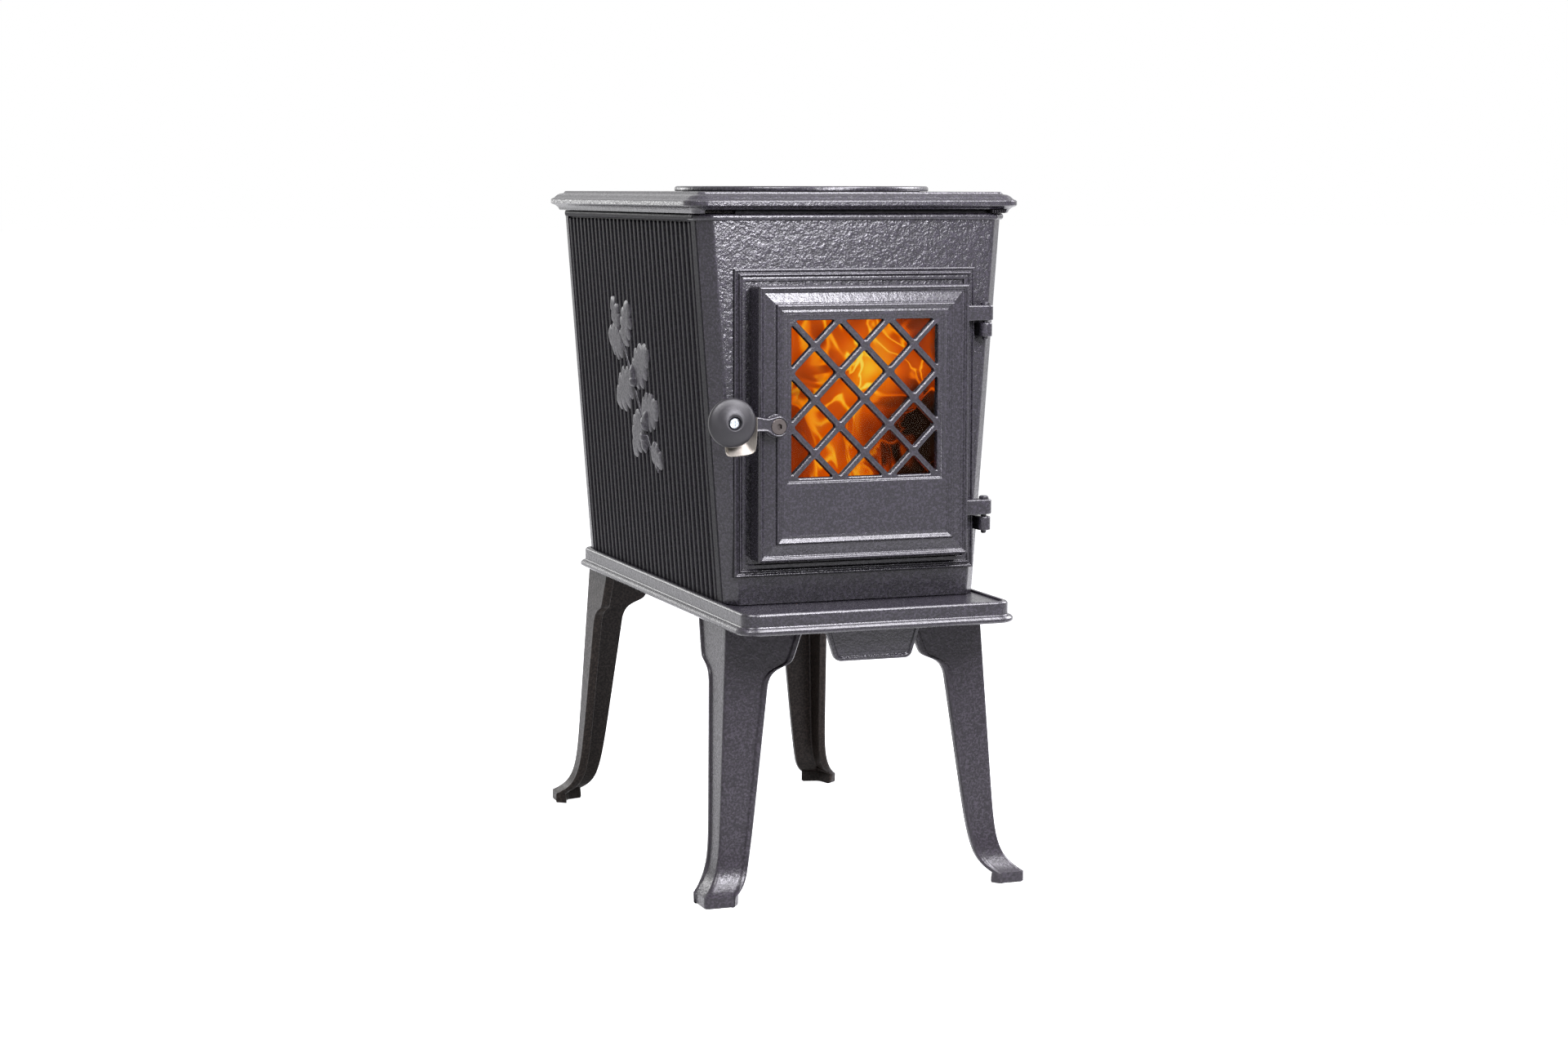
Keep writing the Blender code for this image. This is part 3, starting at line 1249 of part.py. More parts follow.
def make_glass():
    """The ceramic glass and the flat seal between it and the door."""
    glass = block("door_glass", (-GLASS_HALF_WIDTH, GLASS_FRONT_Y, GLASS_BOTTOM_Z),
                  (GLASS_HALF_WIDTH, GLASS_BACK_Y, GLASS_TOP_Z), "ceramic_glass")
    low_y = PANEL_BACK_Y + GAP
    high_y = low_y + GLASS_SEAL_THICKNESS

    def ring(inset, y):
        side = GLASS_HALF_WIDTH - inset
        return [(-side, y, GLASS_BOTTOM_Z + inset), (side, y, GLASS_BOTTOM_Z + inset),
                (side, y, GLASS_TOP_Z - inset), (-side, y, GLASS_TOP_Z - inset)]

    rings = [ring(0.0, low_y), ring(GLASS_SEAL_WIDTH, low_y), ring(GLASS_SEAL_WIDTH, high_y), ring(0.0, high_y)]
    seal = loft("glass_seal", rings, "rope_seal", closed=True)
    return glass, seal


def make_door_seal():
    """The rope in the channel behind the door's rim, which meets the front plate."""
    inner = RIM_WALL + CHANNEL_WIDTH - GAP
    outer = RIM_WALL + GAP
    front = DOOR_BACK_Y - CHANNEL_DEPTH + GAP
    back = BODY_FRONT_Y - GAP
    rings = [door_ring(outer, front, 0.001), door_ring(inner, front, 0.001),
             door_ring(inner, back, 0.001), door_ring(outer, back, 0.001)]
    return loft("door_seal", rings, "rope_seal", closed=True)


def make_glass_clips():
    """Four small clips that hold the glass, and their screws."""
    pieces = []
    back = CLIP_Y + CLIP_THICKNESS
    hole_radius = CLIP_SCREW_RADIUS + GAP
    for number, side, z in clip_places():
        inner = side * (GLASS_HALF_WIDTH - CLIP_GRIP)
        outer = side * (door_recess_half() - CLIP_EDGE)
        clip = block(f"glass_clip_{number}", (min(inner, outer), CLIP_Y, z - CLIP_HALF_HEIGHT),
                     (max(inner, outer), back, z + CLIP_HALF_HEIGHT), "spring_steel")
        place = (clip_screw_x(side), z)
        hole = turned("hole", ((CLIP_Y - 0.01, hole_radius), (back + 0.01, hole_radius)), "Y", place, COARSE,
                      "spring_steel")
        pieces.append(cut(clip, hole))
        head = back + GAP
        stations = (
            (head - CLIP_SCREW_LENGTH, CLIP_SCREW_RADIUS),
            (head, CLIP_SCREW_RADIUS),
            (head, CLIP_SCREW_HEAD_RADIUS),
            (head + CLIP_SCREW_HEAD_HEIGHT * 0.5, CLIP_SCREW_HEAD_RADIUS),
            (head + CLIP_SCREW_HEAD_HEIGHT, CLIP_SCREW_HEAD_RADIUS * 0.6),
        )
        pieces.append(turned(f"glass_clip_screw_{number}", stations, "Y", place, COARSE, "bright_zinc"))
    return pieces


def make_hinge_pins():
    """A headed pin for each hinge: it drops through the door's lug into the knuckle."""
    for name, rise in zip(("hinge_pin_lower", "hinge_pin_upper"), LUG_ABOVE_DOOR_BOTTOM):
        low, _, _, high = hinge_levels(rise)
        head = high + GAP
        stations = (
            (low - PIN_END, PIN_RADIUS * 0.7),
            (low - PIN_END + 0.0008, PIN_RADIUS),
            (head, PIN_RADIUS),
            (head, PIN_HEAD_RADIUS),
            (head + PIN_HEAD_HEIGHT * 0.6, PIN_HEAD_RADIUS),
            (head + PIN_HEAD_HEIGHT, PIN_HEAD_RADIUS * 0.7),
        )
        turned(name, stations, "Z", (HINGE_X, HINGE_Y), COARSE, "painted_casting")


def along_arm(distance, up):
    """A point on the latch arm, from the screw towards the knob, in X and Z."""
    x = LATCH_X - distance * math.cos(ARM_SLOPE) + up * math.sin(ARM_SLOPE)
    z = LATCH_Z + distance * math.sin(ARM_SLOPE) + up * math.cos(ARM_SLOPE)
    return (x, z)


def make_latch_arm():
    """The arm: a round hub on the screw, a bar, a round end under the knob and a notch for the peg."""
    hub = turned("latch_arm", ((ARM_BACK_Y, ARM_HUB_RADIUS), (ARM_FRONT_Y + 0.0006, ARM_HUB_RADIUS),
                               (ARM_FRONT_Y, ARM_HUB_RADIUS - 0.0006)), "Y", (LATCH_X, LATCH_Z), MEDIUM,
                 "painted_casting")
    bar_outline = [along_arm(0.0, -ARM_HUB_RADIUS * 0.95), along_arm(0.013, -ARM_HALF_WIDTH),
                   along_arm(ARM_LENGTH, -ARM_HALF_WIDTH), along_arm(ARM_LENGTH, ARM_HALF_WIDTH),
                   along_arm(0.010, ARM_HALF_WIDTH), along_arm(0.0, ARM_HUB_RADIUS * 0.85)]
    bar = prism("bar", bar_outline, "Y", ARM_FRONT_Y + 0.0003, ARM_BACK_Y - 0.0003, "painted_casting")
    end = turned("end", ((ARM_BACK_Y - 0.0005, ARM_END_RADIUS), (ARM_FRONT_Y, ARM_END_RADIUS)), "Y",
                 (KNOB_X, KNOB_Z), MEDIUM, "painted_casting")
    fuse(hub, bar, end)
    half = PEG_RADIUS + PEG_CLEARANCE
    deep = -ARM_HALF_WIDTH + 2 * (PEG_RADIUS + PEG_CLEARANCE)
    near = PEG_FROM_SCREW - half - NOTCH_EASE
    far = PEG_FROM_SCREW + half
    notch_outline = [along_arm(near, -ARM_HALF_WIDTH - 0.01), along_arm(far, -ARM_HALF_WIDTH - 0.01),
                     along_arm(far, deep), along_arm(near, deep)]
    notch = prism("notch", notch_outline, "Y", ARM_FRONT_Y - 0.01, ARM_BACK_Y + 0.01, "raw_casting")
    bore = LATCH_SCREW_RADIUS + SCREW_CLEARANCE
    wide = LATCH_SCREW_HEAD_RADIUS + SCREW_CLEARANCE
    sink_end = ARM_FRONT_Y + LATCH_SCREW_HEAD_HEIGHT + GAP
    hole = turned("hole", ((ARM_FRONT_Y - 0.01, wide), (ARM_FRONT_Y + GAP, wide), (sink_end, bore),
                           (ARM_BACK_Y + 0.01, bore)), "Y", (LATCH_X, LATCH_Z), MEDIUM, "raw_casting")
    knob_bore = KNOB_SCREW_RADIUS + SCREW_CLEARANCE
    knob_hole = turned("knob_hole", ((ARM_FRONT_Y - 0.01, knob_bore), (ARM_FRONT_Y + KNOB_SCREW_BITE, knob_bore)),
                       "Y", (KNOB_X, KNOB_Z), COARSE, "raw_casting")
    return cut(hub, notch, hole, knob_hole)


def make_latch_screw():
    """The countersunk socket screw that the latch turns on, and the spring washer behind the arm."""
    stations = (
        (ARM_FRONT_Y, LATCH_SCREW_HEAD_RADIUS - 0.0003),
        (ARM_FRONT_Y + 0.0003, LATCH_SCREW_HEAD_RADIUS),
        (ARM_FRONT_Y + LATCH_SCREW_HEAD_HEIGHT, LATCH_SCREW_RADIUS),
        (ARM_FRONT_Y + LATCH_SCREW_LENGTH, LATCH_SCREW_RADIUS),
    )
    screw = turned("latch_screw", stations, "Y", (LATCH_X, LATCH_Z), MEDIUM, "dark_steel")
    socket = turned("socket", ((ARM_FRONT_Y - 0.01, SOCKET_RADIUS), (ARM_FRONT_Y + SOCKET_DEPTH, SOCKET_RADIUS)),
                    "Y", (LATCH_X, LATCH_Z), HEX, "dark_steel", turn=0.5)
    cut(screw, socket)
    back = LATCH_BOSS_Y - GAP
    bore = LATCH_SCREW_RADIUS + SCREW_CLEARANCE
    stations = ((back, bore), (back, WASHER_RADIUS), (back - WASHER_THICKNESS, WASHER_RADIUS),
                (back - WASHER_THICKNESS, bore))
    washer = turned("spring_washer", stations, "Y", (LATCH_X, LATCH_Z), MEDIUM, "dark_steel", closed=True)
    return screw, washer


def make_latch_keeper():
    """The peg on the front plate that the latch arm's notch rests on."""
    foot = BODY_FRONT_Y - 2 * GAP
    tip = BODY_FRONT_Y - PEG_LENGTH
    stations = (
        (BODY_FRONT_Y + PEG_ROOT, PEG_RADIUS),
        (foot, PEG_RADIUS),
        (foot, PEG_FOOT_RADIUS),
        (foot - PEG_FOOT_HEIGHT, PEG_FOOT_RADIUS),
        (foot - PEG_FOOT_HEIGHT, PEG_RADIUS),
        (tip + 0.0006, PEG_RADIUS),
        (tip, PEG_RADIUS - 0.0006),
    )
    return turned("latch_keeper", stations, "Y", (PEG_X, PEG_Z), COARSE, "dark_steel")


def make_knob():
    """The domed knob, bored for its screw."""
    stations = [(KNOB_BACK_Y - forward, radius) for forward, radius in KNOB_PROFILE]
    stations.append((KNOB_BACK_Y - KNOB_RECESS, KNOB_PROFILE[-1][1]))
    knob = turned("knob", stations, "Y", (KNOB_X, KNOB_Z), FINE, "black_knob")
    bore = KNOB_SCREW_RADIUS + SCREW_CLEARANCE
    hole = turned("hole", ((KNOB_BACK_Y - 0.03, bore), (KNOB_BACK_Y + 0.01, bore)), "Y", (KNOB_X, KNOB_Z),
                  COARSE, "black_knob")
    return cut(knob, hole)


def make_knob_screw():
    """The zinc-plated screw through the knob."""
    seat = KNOB_BACK_Y - KNOB_RECESS - GAP
    head = seat - KNOB_SCREW_HEAD_HEIGHT
    stations = (
        (head, KNOB_SCREW_HEAD_RADIUS * 0.75),
        (head + 0.0007, KNOB_SCREW_HEAD_RADIUS),
        (seat, KNOB_SCREW_HEAD_RADIUS),
        (seat, KNOB_SCREW_RADIUS),
        (ARM_FRONT_Y + KNOB_SCREW_BITE - GAP, KNOB_SCREW_RADIUS),
    )
    screw = turned("knob_screw", stations, "Y", (KNOB_X, KNOB_Z), MEDIUM, "bright_zinc")
    slots = []
    for across, up in ((0.0024, 0.0005), (0.0005, 0.0024)):
        slots.append(block("cross", (KNOB_X - across, head - 0.01, KNOB_Z - up),
                           (KNOB_X + across, head + 0.0012, KNOB_Z + up), "bright_zinc"))
    return cut(screw, *slots)


def offset_line(points, distance):
    """A line moved sideways by a distance, for the second face of a bent strip."""
    moved = []
    for number, point in enumerate(points):
        before = Vector(points[max(number - 1, 0)])
        after = Vector(points[min(number + 1, len(points) - 1)])
        along = (after - before).normalized()
        moved.append((point[0] - along.y * distance, point[1] + along.x * distance))
    return moved


def make_knob_guard():
    """The bent steel guard: a round tab clamped under the knob, and a band that runs below it."""
    outer = [(KNOB_X + x, KNOB_Z + z) for x, z in GUARD_BAND]
    inner = offset_line(outer, -GUARD_THICKNESS)
    band = prism("knob_guard", outer + inner[::-1], "Y", GUARD_FRONT_Y - BAND_DEPTH, GUARD_BACK_Y,
                 "spring_steel")
    tab = arc((KNOB_X, KNOB_Z), GUARD_TAB_RADIUS, 50, 300, 12)
    web = [(KNOB_X + x, KNOB_Z + z) for x, z in GUARD_WEB]
    tab_plate = prism("tab", tab + web, "Y", GUARD_FRONT_Y, GUARD_BACK_Y, "spring_steel")
    fuse(band, tab_plate)
    bore = KNOB_SCREW_RADIUS + SCREW_CLEARANCE
    hole = turned("hole", ((GUARD_FRONT_Y - 0.01, bore), (GUARD_BACK_Y + 0.01, bore)), "Y", (KNOB_X, KNOB_Z),
                  COARSE, "spring_steel")
    return cut(band, hole)


def make_door_assembly():
    """Everything that swings with the door, with the latch hung on its own axis."""
    door = make_door()
    glass, glass_seal = make_glass()
    door_seal = make_door_seal()
    clips = make_glass_clips()
    screw, washer = make_latch_screw()
    arm = make_latch_arm()
    guard = make_knob_guard()
    knob = make_knob()
    knob_screw = make_knob_screw()
    hinge = pivot("door_hinge", (HINGE_X, HINGE_Y, DOOR_BOTTOM_Z))
    hang_on(hinge, door, glass, glass_seal, door_seal, screw, washer, *clips)
    latch = pivot("latch_pivot", (LATCH_X, ARM_FRONT_Y, LATCH_Z))
    hang_on(latch, arm, guard, knob, knob_screw)


def shade_all():
    """Smooth shading with sharp edges kept."""
    for thing in bpy.data.objects:
        if thing.type == 'MESH':
            thing.data.shade_smooth()
            thing.data.set_sharp_from_angle(angle=math.radians(32))


def build_stove():
    """Builds the whole stove."""
    clear_scene()
    make_base_plate()
    make_apron()
    make_legs()
    make_front_plate()
    make_side_plate("side_plate_left", -1)
    make_side_plate("side_plate_right", 1)
    make_rear_plate()
    make_flue_collar()
    make_lining()
    make_top_plate()
    make_top_seal()
    make_hob_lid()
    make_air_slider()
    make_tie_rods()
    make_hinge_pins()
    make_latch_keeper()
    make_door_assembly()
    shade_all()


build_stove()
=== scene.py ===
"""A small cast iron wood stove with a lattice window in its door, on four flared legs.

Metres, +Z up, the door faces -Y, the hinges are on +X and the flue collar points to +Y.
"""

import math
import random

import bmesh
import bpy
from mathutils import Matrix, Vector


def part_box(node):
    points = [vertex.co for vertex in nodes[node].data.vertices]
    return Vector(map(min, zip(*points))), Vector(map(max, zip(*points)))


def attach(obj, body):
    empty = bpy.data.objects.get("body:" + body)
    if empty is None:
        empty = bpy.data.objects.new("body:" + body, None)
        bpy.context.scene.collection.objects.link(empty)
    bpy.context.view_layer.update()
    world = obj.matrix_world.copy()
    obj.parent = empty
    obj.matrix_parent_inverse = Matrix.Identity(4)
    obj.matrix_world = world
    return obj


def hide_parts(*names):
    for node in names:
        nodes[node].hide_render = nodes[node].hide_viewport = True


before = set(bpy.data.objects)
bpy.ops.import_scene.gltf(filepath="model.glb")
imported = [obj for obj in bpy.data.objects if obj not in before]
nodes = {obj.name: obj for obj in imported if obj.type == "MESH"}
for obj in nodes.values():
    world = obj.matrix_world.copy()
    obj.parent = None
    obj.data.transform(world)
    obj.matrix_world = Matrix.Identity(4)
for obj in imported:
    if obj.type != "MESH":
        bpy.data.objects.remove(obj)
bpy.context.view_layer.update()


# Viewpoint: the front left corner of the stove, from just over half its height, with a portrait lens on
# a full-frame camera.
EYE = Vector((-0.9393, -2.5900, 0.6390))
YAW, PITCH, ROLL = math.radians(20.023), math.radians(6.696), math.radians(0.058)
LENS_MM, SENSOR_MM = 65.594, 36.0
ahead = Vector((math.sin(YAW) * math.cos(PITCH), math.cos(YAW) * math.cos(PITCH), -math.sin(PITCH)))
level_right = Vector((math.cos(YAW), -math.sin(YAW), 0.0))
level_up = level_right.cross(ahead)
right = level_right * math.cos(ROLL) + level_up * math.sin(ROLL)
up = level_up * math.cos(ROLL) - level_right * math.sin(ROLL)
lens = bpy.data.cameras.new("camera")
lens.lens, lens.sensor_width = LENS_MM, SENSOR_MM
camera = bpy.data.objects.new("camera", lens)
camera.matrix_world = Matrix.Translation(EYE) @ Matrix((right, up, -ahead)).transposed().to_4x4()
bpy.context.scene.collection.objects.link(camera)
bpy.context.scene.camera = camera
bpy.context.scene.view_settings.view_transform = "Standard"


# Studio: a wide pale floor that runs into a white surround. Three large soft lamps light the front left
# corner, the top and the right side. A small one in front gives the front plate its sheen, and two weak
# ones draw the left edges from behind and the crests of the ribs.
def linear(hex_colour):
    """A hex colour as linear red, green, blue and alpha."""
    channels = [int(hex_colour[start:start + 2], 16) / 255 for start in (1, 3, 5)]
    return (*[c / 12.92 if c <= 0.04045 else ((c + 0.055) / 1.055) ** 2.4 for c in channels], 1.0)


def add_node(tree, kind, inputs=None, stops=None, **settings):
    """Adds a shader node with its settings, and sets or links its inputs; stops are a colour ramp's."""
    node = tree.nodes.new("ShaderNode" + kind)
    for name, value in settings.items():
        setattr(node, name, value)
    if stops:
        ramp = node.color_ramp
        while len(ramp.elements) < len(stops):
            ramp.elements.new(1.0)
        for element, (place, colour) in zip(ramp.elements, stops):
            element.position = place
            element.color = linear(colour)
    for name, value in (inputs or {}).items():
        if isinstance(value, bpy.types.NodeSocket):
            tree.links.new(value, node.inputs[name])
        else:
            node.inputs[name].default_value = value
    return node


def new_material(name):
    """A material with an empty node tree, and that tree."""
    material = bpy.data.materials.new(name)
    material.use_nodes = True
    material.node_tree.nodes.clear()
    return material, material.node_tree


def reckon(tree, operation, first, second=0.0, kind="Math"):
    """The result of a calculation with one value or two, or with two vectors."""
    return add_node(tree, kind, {0: first, 1: second}, operation=operation).outputs[0]


def mix_shaders(tree, share, first, second):
    """Two shaders, the second one by its share."""
    return add_node(tree, "MixShader", {0: share, 1: first.outputs[0], 2: second.outputs[0]}).outputs[0]


def seen_directly(tree):
    """1 for what the camera, a mirror or a pane of glass sees, and 0 for light that falls on things."""
    path = add_node(tree, "LightPath")
    seen = reckon(tree, "MAXIMUM", path.outputs["Is Camera Ray"], path.outputs["Is Glossy Ray"])
    return reckon(tree, "MAXIMUM", seen, path.outputs["Is Transmission Ray"])


WHITE = (1.0, 1.0, 1.0, 1.0)
AMBIENT, FLOOR_GLOW, FLOOR_SIZE = 0.22, 0.92, 80.0
world = bpy.data.worlds.new("studio")
world.use_nodes = True
bpy.context.scene.world = world
tree = world.node_tree
tree.nodes.clear()
lit = add_node(tree, "Background", {"Color": linear("#F4F5FA"), "Strength": AMBIENT})
white = add_node(tree, "Background", {"Color": WHITE, "Strength": 1.0})
add_node(tree, "OutputWorld", {"Surface": mix_shaders(tree, seen_directly(tree), lit, white)})

pale_floor, tree = new_material("painted_studio_floor")
matt = add_node(tree, "BsdfDiffuse", {"Color": linear("#B4B4B6")})
glow = add_node(tree, "Emission", {"Color": WHITE, "Strength": FLOOR_GLOW})
both = add_node(tree, "AddShader", {0: matt.outputs[0], 1: glow.outputs[0]})
add_node(tree, "OutputMaterial", {"Surface": mix_shaders(tree, seen_directly(tree), matt, both)})
bpy.ops.object.select_all(action="DESELECT")
bpy.ops.mesh.primitive_plane_add(size=FLOOR_SIZE)
floor = bpy.context.active_object
floor.name = "floor"
floor.data.materials.append(pale_floor)

LAMPS_AIM = Vector((0.0, 0.0, 0.35))
for name, place, size, watts, colour in (
    ("key_lamp", (-1.05, -0.90, 2.15), (1.0, 1.0), 90.0, "#FCFBFF"),
    ("top_lamp", (0.75, -0.95, 2.15), (0.90, 1.5), 105.0, "#FAF8FF"),
    ("right_lamp", (1.85, 0.20, 1.40), (0.9, 1.0), 60.0, "#FAF8FF"),
    ("front_lamp", (0.12, -0.98, 0.86), (0.32, 0.32), 22.0, "#F8F6FF"),
    ("edge_lamp", (-1.25, 2.60, 1.00), (1.3, 0.75), 17.0, "#FFFFFF"),
    ("rib_lamp", (-2.30, 0.45, 0.40), (0.30, 1.0), 1.2, "#FFF4EE"),
):
    light = bpy.data.lights.new(name, "AREA")
    light.shape = "RECTANGLE"
    light.size, light.size_y = size
    light.energy = watts
    light.color = linear(colour)[:3]
    lamp = bpy.data.objects.new(name, light)
    lamp.location = place
    lamp.rotation_euler = (LAMPS_AIM - Vector(place)).to_track_quat("-Z", "Y").to_euler()
    lamp.visible_camera = False
    bpy.context.scene.collection.objects.link(lamp)


# Base plate: an upturned iron tray, sand cast and painted charcoal. It carries the body in a low rim
# and juts out in front as a shelf that catches ash.
X, Y, Z = 0, 1, 2


def object_place(tree):
    """Where a point lies on its piece."""
    return add_node(tree, "TexCoord").outputs["Object"]


def noise(tree, place, scale, detail, **more):
    """Clouds or grains, as a value of 0 to 1."""
    inputs = {"Vector": place, "Scale": scale, "Detail": detail, **more}
    return add_node(tree, "TexNoise", inputs).outputs["Fac"]


def stretch(tree, value, low, high, to_low=0.0, to_high=1.0, **settings):
    """A value between two limits, stretched to lie between two others."""
    return add_node(tree, "MapRange", {"Value": value, "From Min": low, "From Max": high, "To Min": to_low,
                                       "To Max": to_high}, **settings).outputs[0]


def blend(tree, share, first, second):
    """Two colours, the second one by its share."""
    return add_node(tree, "Mix", {"Factor": share, "A": first, "B": second}, data_type="RGBA").outputs["Result"]


def bumps(tree, height, depth, strength=1.0):
    """A surface roughened by a value, this deep in metres."""
    return add_node(tree, "Bump", {"Height": height, "Strength": strength, "Distance": depth}).outputs[0]


def give_surface(tree, **inputs):
    """The shader of a material and its output."""
    shader = add_node(tree, "BsdfPrincipled", {name.replace("_", " "): value for name, value in inputs.items()})
    add_node(tree, "OutputMaterial", {"Surface": shader.outputs[0]})


def cast_paint(name, colour, grain_mm, grain_depth_mm, roughness, gloss=0.5):
    """Satin stove paint over sand-cast iron: the grain of the mould shows through and sparkles."""
    material, tree = new_material(name)
    place = object_place(tree)
    grains = noise(tree, place, 1000 / grain_mm, 2.0, Roughness=0.55)
    waves = noise(tree, place, 1000 / (grain_mm * 3.2), 1.0)
    # The grain is painted darker in its hollows and lighter on its crests: painted shade and painted glints
    # that stand in for the sparkle of the satin paint.
    glint_share = stretch(tree, grains, 0.44, 0.64)
    grain_hollow_shade, grain_crest_glint = [tuple(part * share for part in linear(colour)[:3]) + (1.0,) for share in (0.55, 1.7)]
    give_surface(tree, Base_Color=blend(tree, glint_share, grain_hollow_shade, grain_crest_glint),
                 Roughness=stretch(tree, grains, 0.35, 0.7, roughness + 0.08, roughness - 0.08),
                 Normal=bumps(tree, reckon(tree, "ADD", grains, waves), grain_depth_mm / 1000),
                 Specular_IOR_Level=gloss)
    return material


def leave_edit():
    """Back to object mode from a piece that is still open, with all its faces turned outwards."""
    if bpy.context.mode == "EDIT_MESH":
        bpy.ops.mesh.select_all(action="SELECT")
        bpy.ops.mesh.normals_make_consistent(inside=False)
        bpy.ops.object.mode_set(mode="OBJECT")


def pick(*pieces):
    """Selects these pieces alone and makes the first one active."""
    bpy.ops.object.select_all(action="DESELECT")
    for piece in pieces:
        piece.select_set(True)
    bpy.context.view_layer.objects.active = pieces[0]


def begin(name, primitive, **settings):
    """A new piece that starts as a primitive, once the piece that is still open is left."""
    leave_edit()
    bpy.ops.object.select_all(action="DESELECT")
    primitive(**settings)
    piece = bpy.context.active_object
    piece.name = name
    return piece


def slab(name, low, high):
    """A block between two corners, open in edit mode."""
    low, high = Vector(low), Vector(high)
    piece = begin(name, bpy.ops.mesh.primitive_cube_add, size=1.0, location=(low + high) / 2)
    piece.scale = high - low
    bpy.ops.object.transform_apply(location=True, rotation=True, scale=True)
    bpy.ops.object.mode_set(mode="EDIT")
    return piece


def choose(piece, kind, test):
    """Selects the faces, edges or points that pass a test, and nothing else."""
    bpy.ops.mesh.select_mode(type=kind)
    bpy.ops.mesh.select_all(action="DESELECT")
    shape = bmesh.from_edit_mesh(piece.data)
    parts = {"FACE": shape.faces, "EDGE": shape.edges, "VERT": shape.verts}[kind]
    parts.ensure_lookup_table()
    for part in parts:
        if test(part):
            part.select_set(True)
    shape.select_flush_mode()
    bmesh.update_edit_mesh(piece.data)


def facing(axis, sign):
    """A test for the flat faces that look along an axis."""
    return lambda face: sign * face.normal[axis] > 0.999


def along(axis, *limits):
    """A test for the straight edges along an axis whose middle lies within limits: axis, lowest, highest."""
    def test(edge):
        run = (edge.verts[1].co - edge.verts[0].co).normalized()
        middle = (edge.verts[0].co + edge.verts[1].co) / 2
        return abs(run[axis]) > 0.999 and all(low <= middle[across] <= high for across, low, high in limits)
    return test


def bevel(piece, kind, test, radius, segments, **settings):
    """Rounds the chosen edges, or the edges round the chosen faces."""
    choose(piece, kind, test)
    bpy.ops.mesh.bevel(offset=radius, segments=segments, affect="EDGES", **settings)


def eased(points, radius, steps=3):
    """A profile with its corners rounded."""
    points = [Vector(point) for point in points]
    smooth = [tuple(points[0])]
    for before, here, after in zip(points, points[1:], points[2:]):
        back, on = before - here, after - here
        turn = back.angle(on, math.pi) if back.length and on.length else math.pi
        if turn > math.radians(172):
            smooth.append(tuple(here))
            continue
        start = here + back.normalized() * min(radius, back.length * 0.48)
        end = here + on.normalized() * min(radius, on.length * 0.48)
        for step in range(steps + 1):
            share = step / steps
            smooth.append(tuple(start.lerp(here, share).lerp(here.lerp(end, share), share)))
    return smooth + [tuple(points[-1])]


def mould(piece, axis, sign, profile):
    """Insets the faces that look along an axis step by step: a profile of distance in and height."""
    choose(piece, "FACE", facing(axis, sign))
    for (near, low), (far, high) in zip(profile, profile[1:]):
        bpy.ops.mesh.inset(thickness=abs(far - near), depth=high - low, use_even_offset=True,
                           use_outset=far < near)


def close(piece, material, body, slot, *replaced, angle=38):
    """Turns all faces outwards, keeps the flats flat beside the rounded edges, gives the piece its finish and
    its body, and hides the nodes it replaces."""
    if bpy.context.mode == "EDIT_MESH":
        bpy.ops.mesh.select_all(action="SELECT")
        bpy.ops.mesh.remove_doubles(threshold=0.000002)
        leave_edit()
    pick(piece)
    bpy.ops.object.shade_smooth_by_angle(angle=math.radians(angle))
    flats = piece.modifiers.new("flats", "WEIGHTED_NORMAL")
    flats.keep_sharp = True
    bpy.ops.object.modifier_apply(modifier=flats.name)
    piece.data.materials.clear()
    piece.data.materials.append(material)
    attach(piece, body)
    if replaced:
        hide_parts(*replaced)


fine_cast_paint = cast_paint("satin_paint_on_fine_casting", "#1D1B20", 2.0, 0.24, 0.24, gloss=0.38)

BASE_LOW, BASE_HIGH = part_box("base_plate")
BASE_EDGE_LOW_Z, BASE_EDGE_HIGH_Z = BASE_LOW.z + 0.0018, BASE_LOW.z + 0.0040
BASE_CORNER = 0.0190
BASE_STEPS = ((0.0, 0.0), (0.0019, 0.0022), (0.0036, 0.0020), (0.0048, 0.0032), (0.0048, 0.0134),
              (0.0066, 0.0152), (0.0098, 0.0152), (0.0101, 0.0132))
BASE_UNDERSIDE = ((0.0, 0.0), (0.0018, 0.0018), (0.0065, 0.0018), (0.0066, -0.0070))
base_plate = slab("painted_base_plate", (BASE_LOW.x, BASE_LOW.y, BASE_EDGE_LOW_Z),
                  (BASE_HIGH.x, BASE_HIGH.y, BASE_EDGE_HIGH_Z))
bevel(base_plate, "EDGE", along(Z), BASE_CORNER, 10)
mould(base_plate, Z, 1, eased(BASE_STEPS, 0.0010))
mould(base_plate, Z, -1, eased(BASE_UNDERSIDE, 0.0008))
close(base_plate, fine_cast_paint, "stove", "painted_iron", "base_plate")


# Front plate: cast iron with chamfered corners, a moulded frame round the doorway and two knuckles that
# the door hangs on. It stands in the rim of the base; a round bead runs along its top edge.
def combine(piece, tool, operation):
    """A Boolean of two pieces, applied; the tool is used up."""
    leave_edit()
    pick(piece)
    change = piece.modifiers.new(operation.lower(), "BOOLEAN")
    change.operation = operation
    change.solver = "EXACT"
    change.object = tool
    bpy.ops.object.modifier_apply(modifier=change.name)
    bpy.data.objects.remove(tool, do_unlink=True)


def grow(name, sections):
    """A shape extruded from section to section, each a list of as many points; open in edit mode."""
    piece = begin(name, bpy.ops.mesh.primitive_circle_add, vertices=len(sections[0]), fill_type="NGON")
    bpy.ops.object.mode_set(mode="EDIT")
    bpy.ops.mesh.select_mode(type="FACE")
    bpy.ops.mesh.select_all(action="SELECT")
    for number, section in enumerate(sections):
        if number:
            bpy.ops.mesh.extrude_region_move()
        shape = bmesh.from_edit_mesh(piece.data)
        face = next(face for face in shape.faces if face.select)
        for vert, point in zip(face.verts, section):
            vert.co = point
        bmesh.update_edit_mesh(piece.data)
    return piece


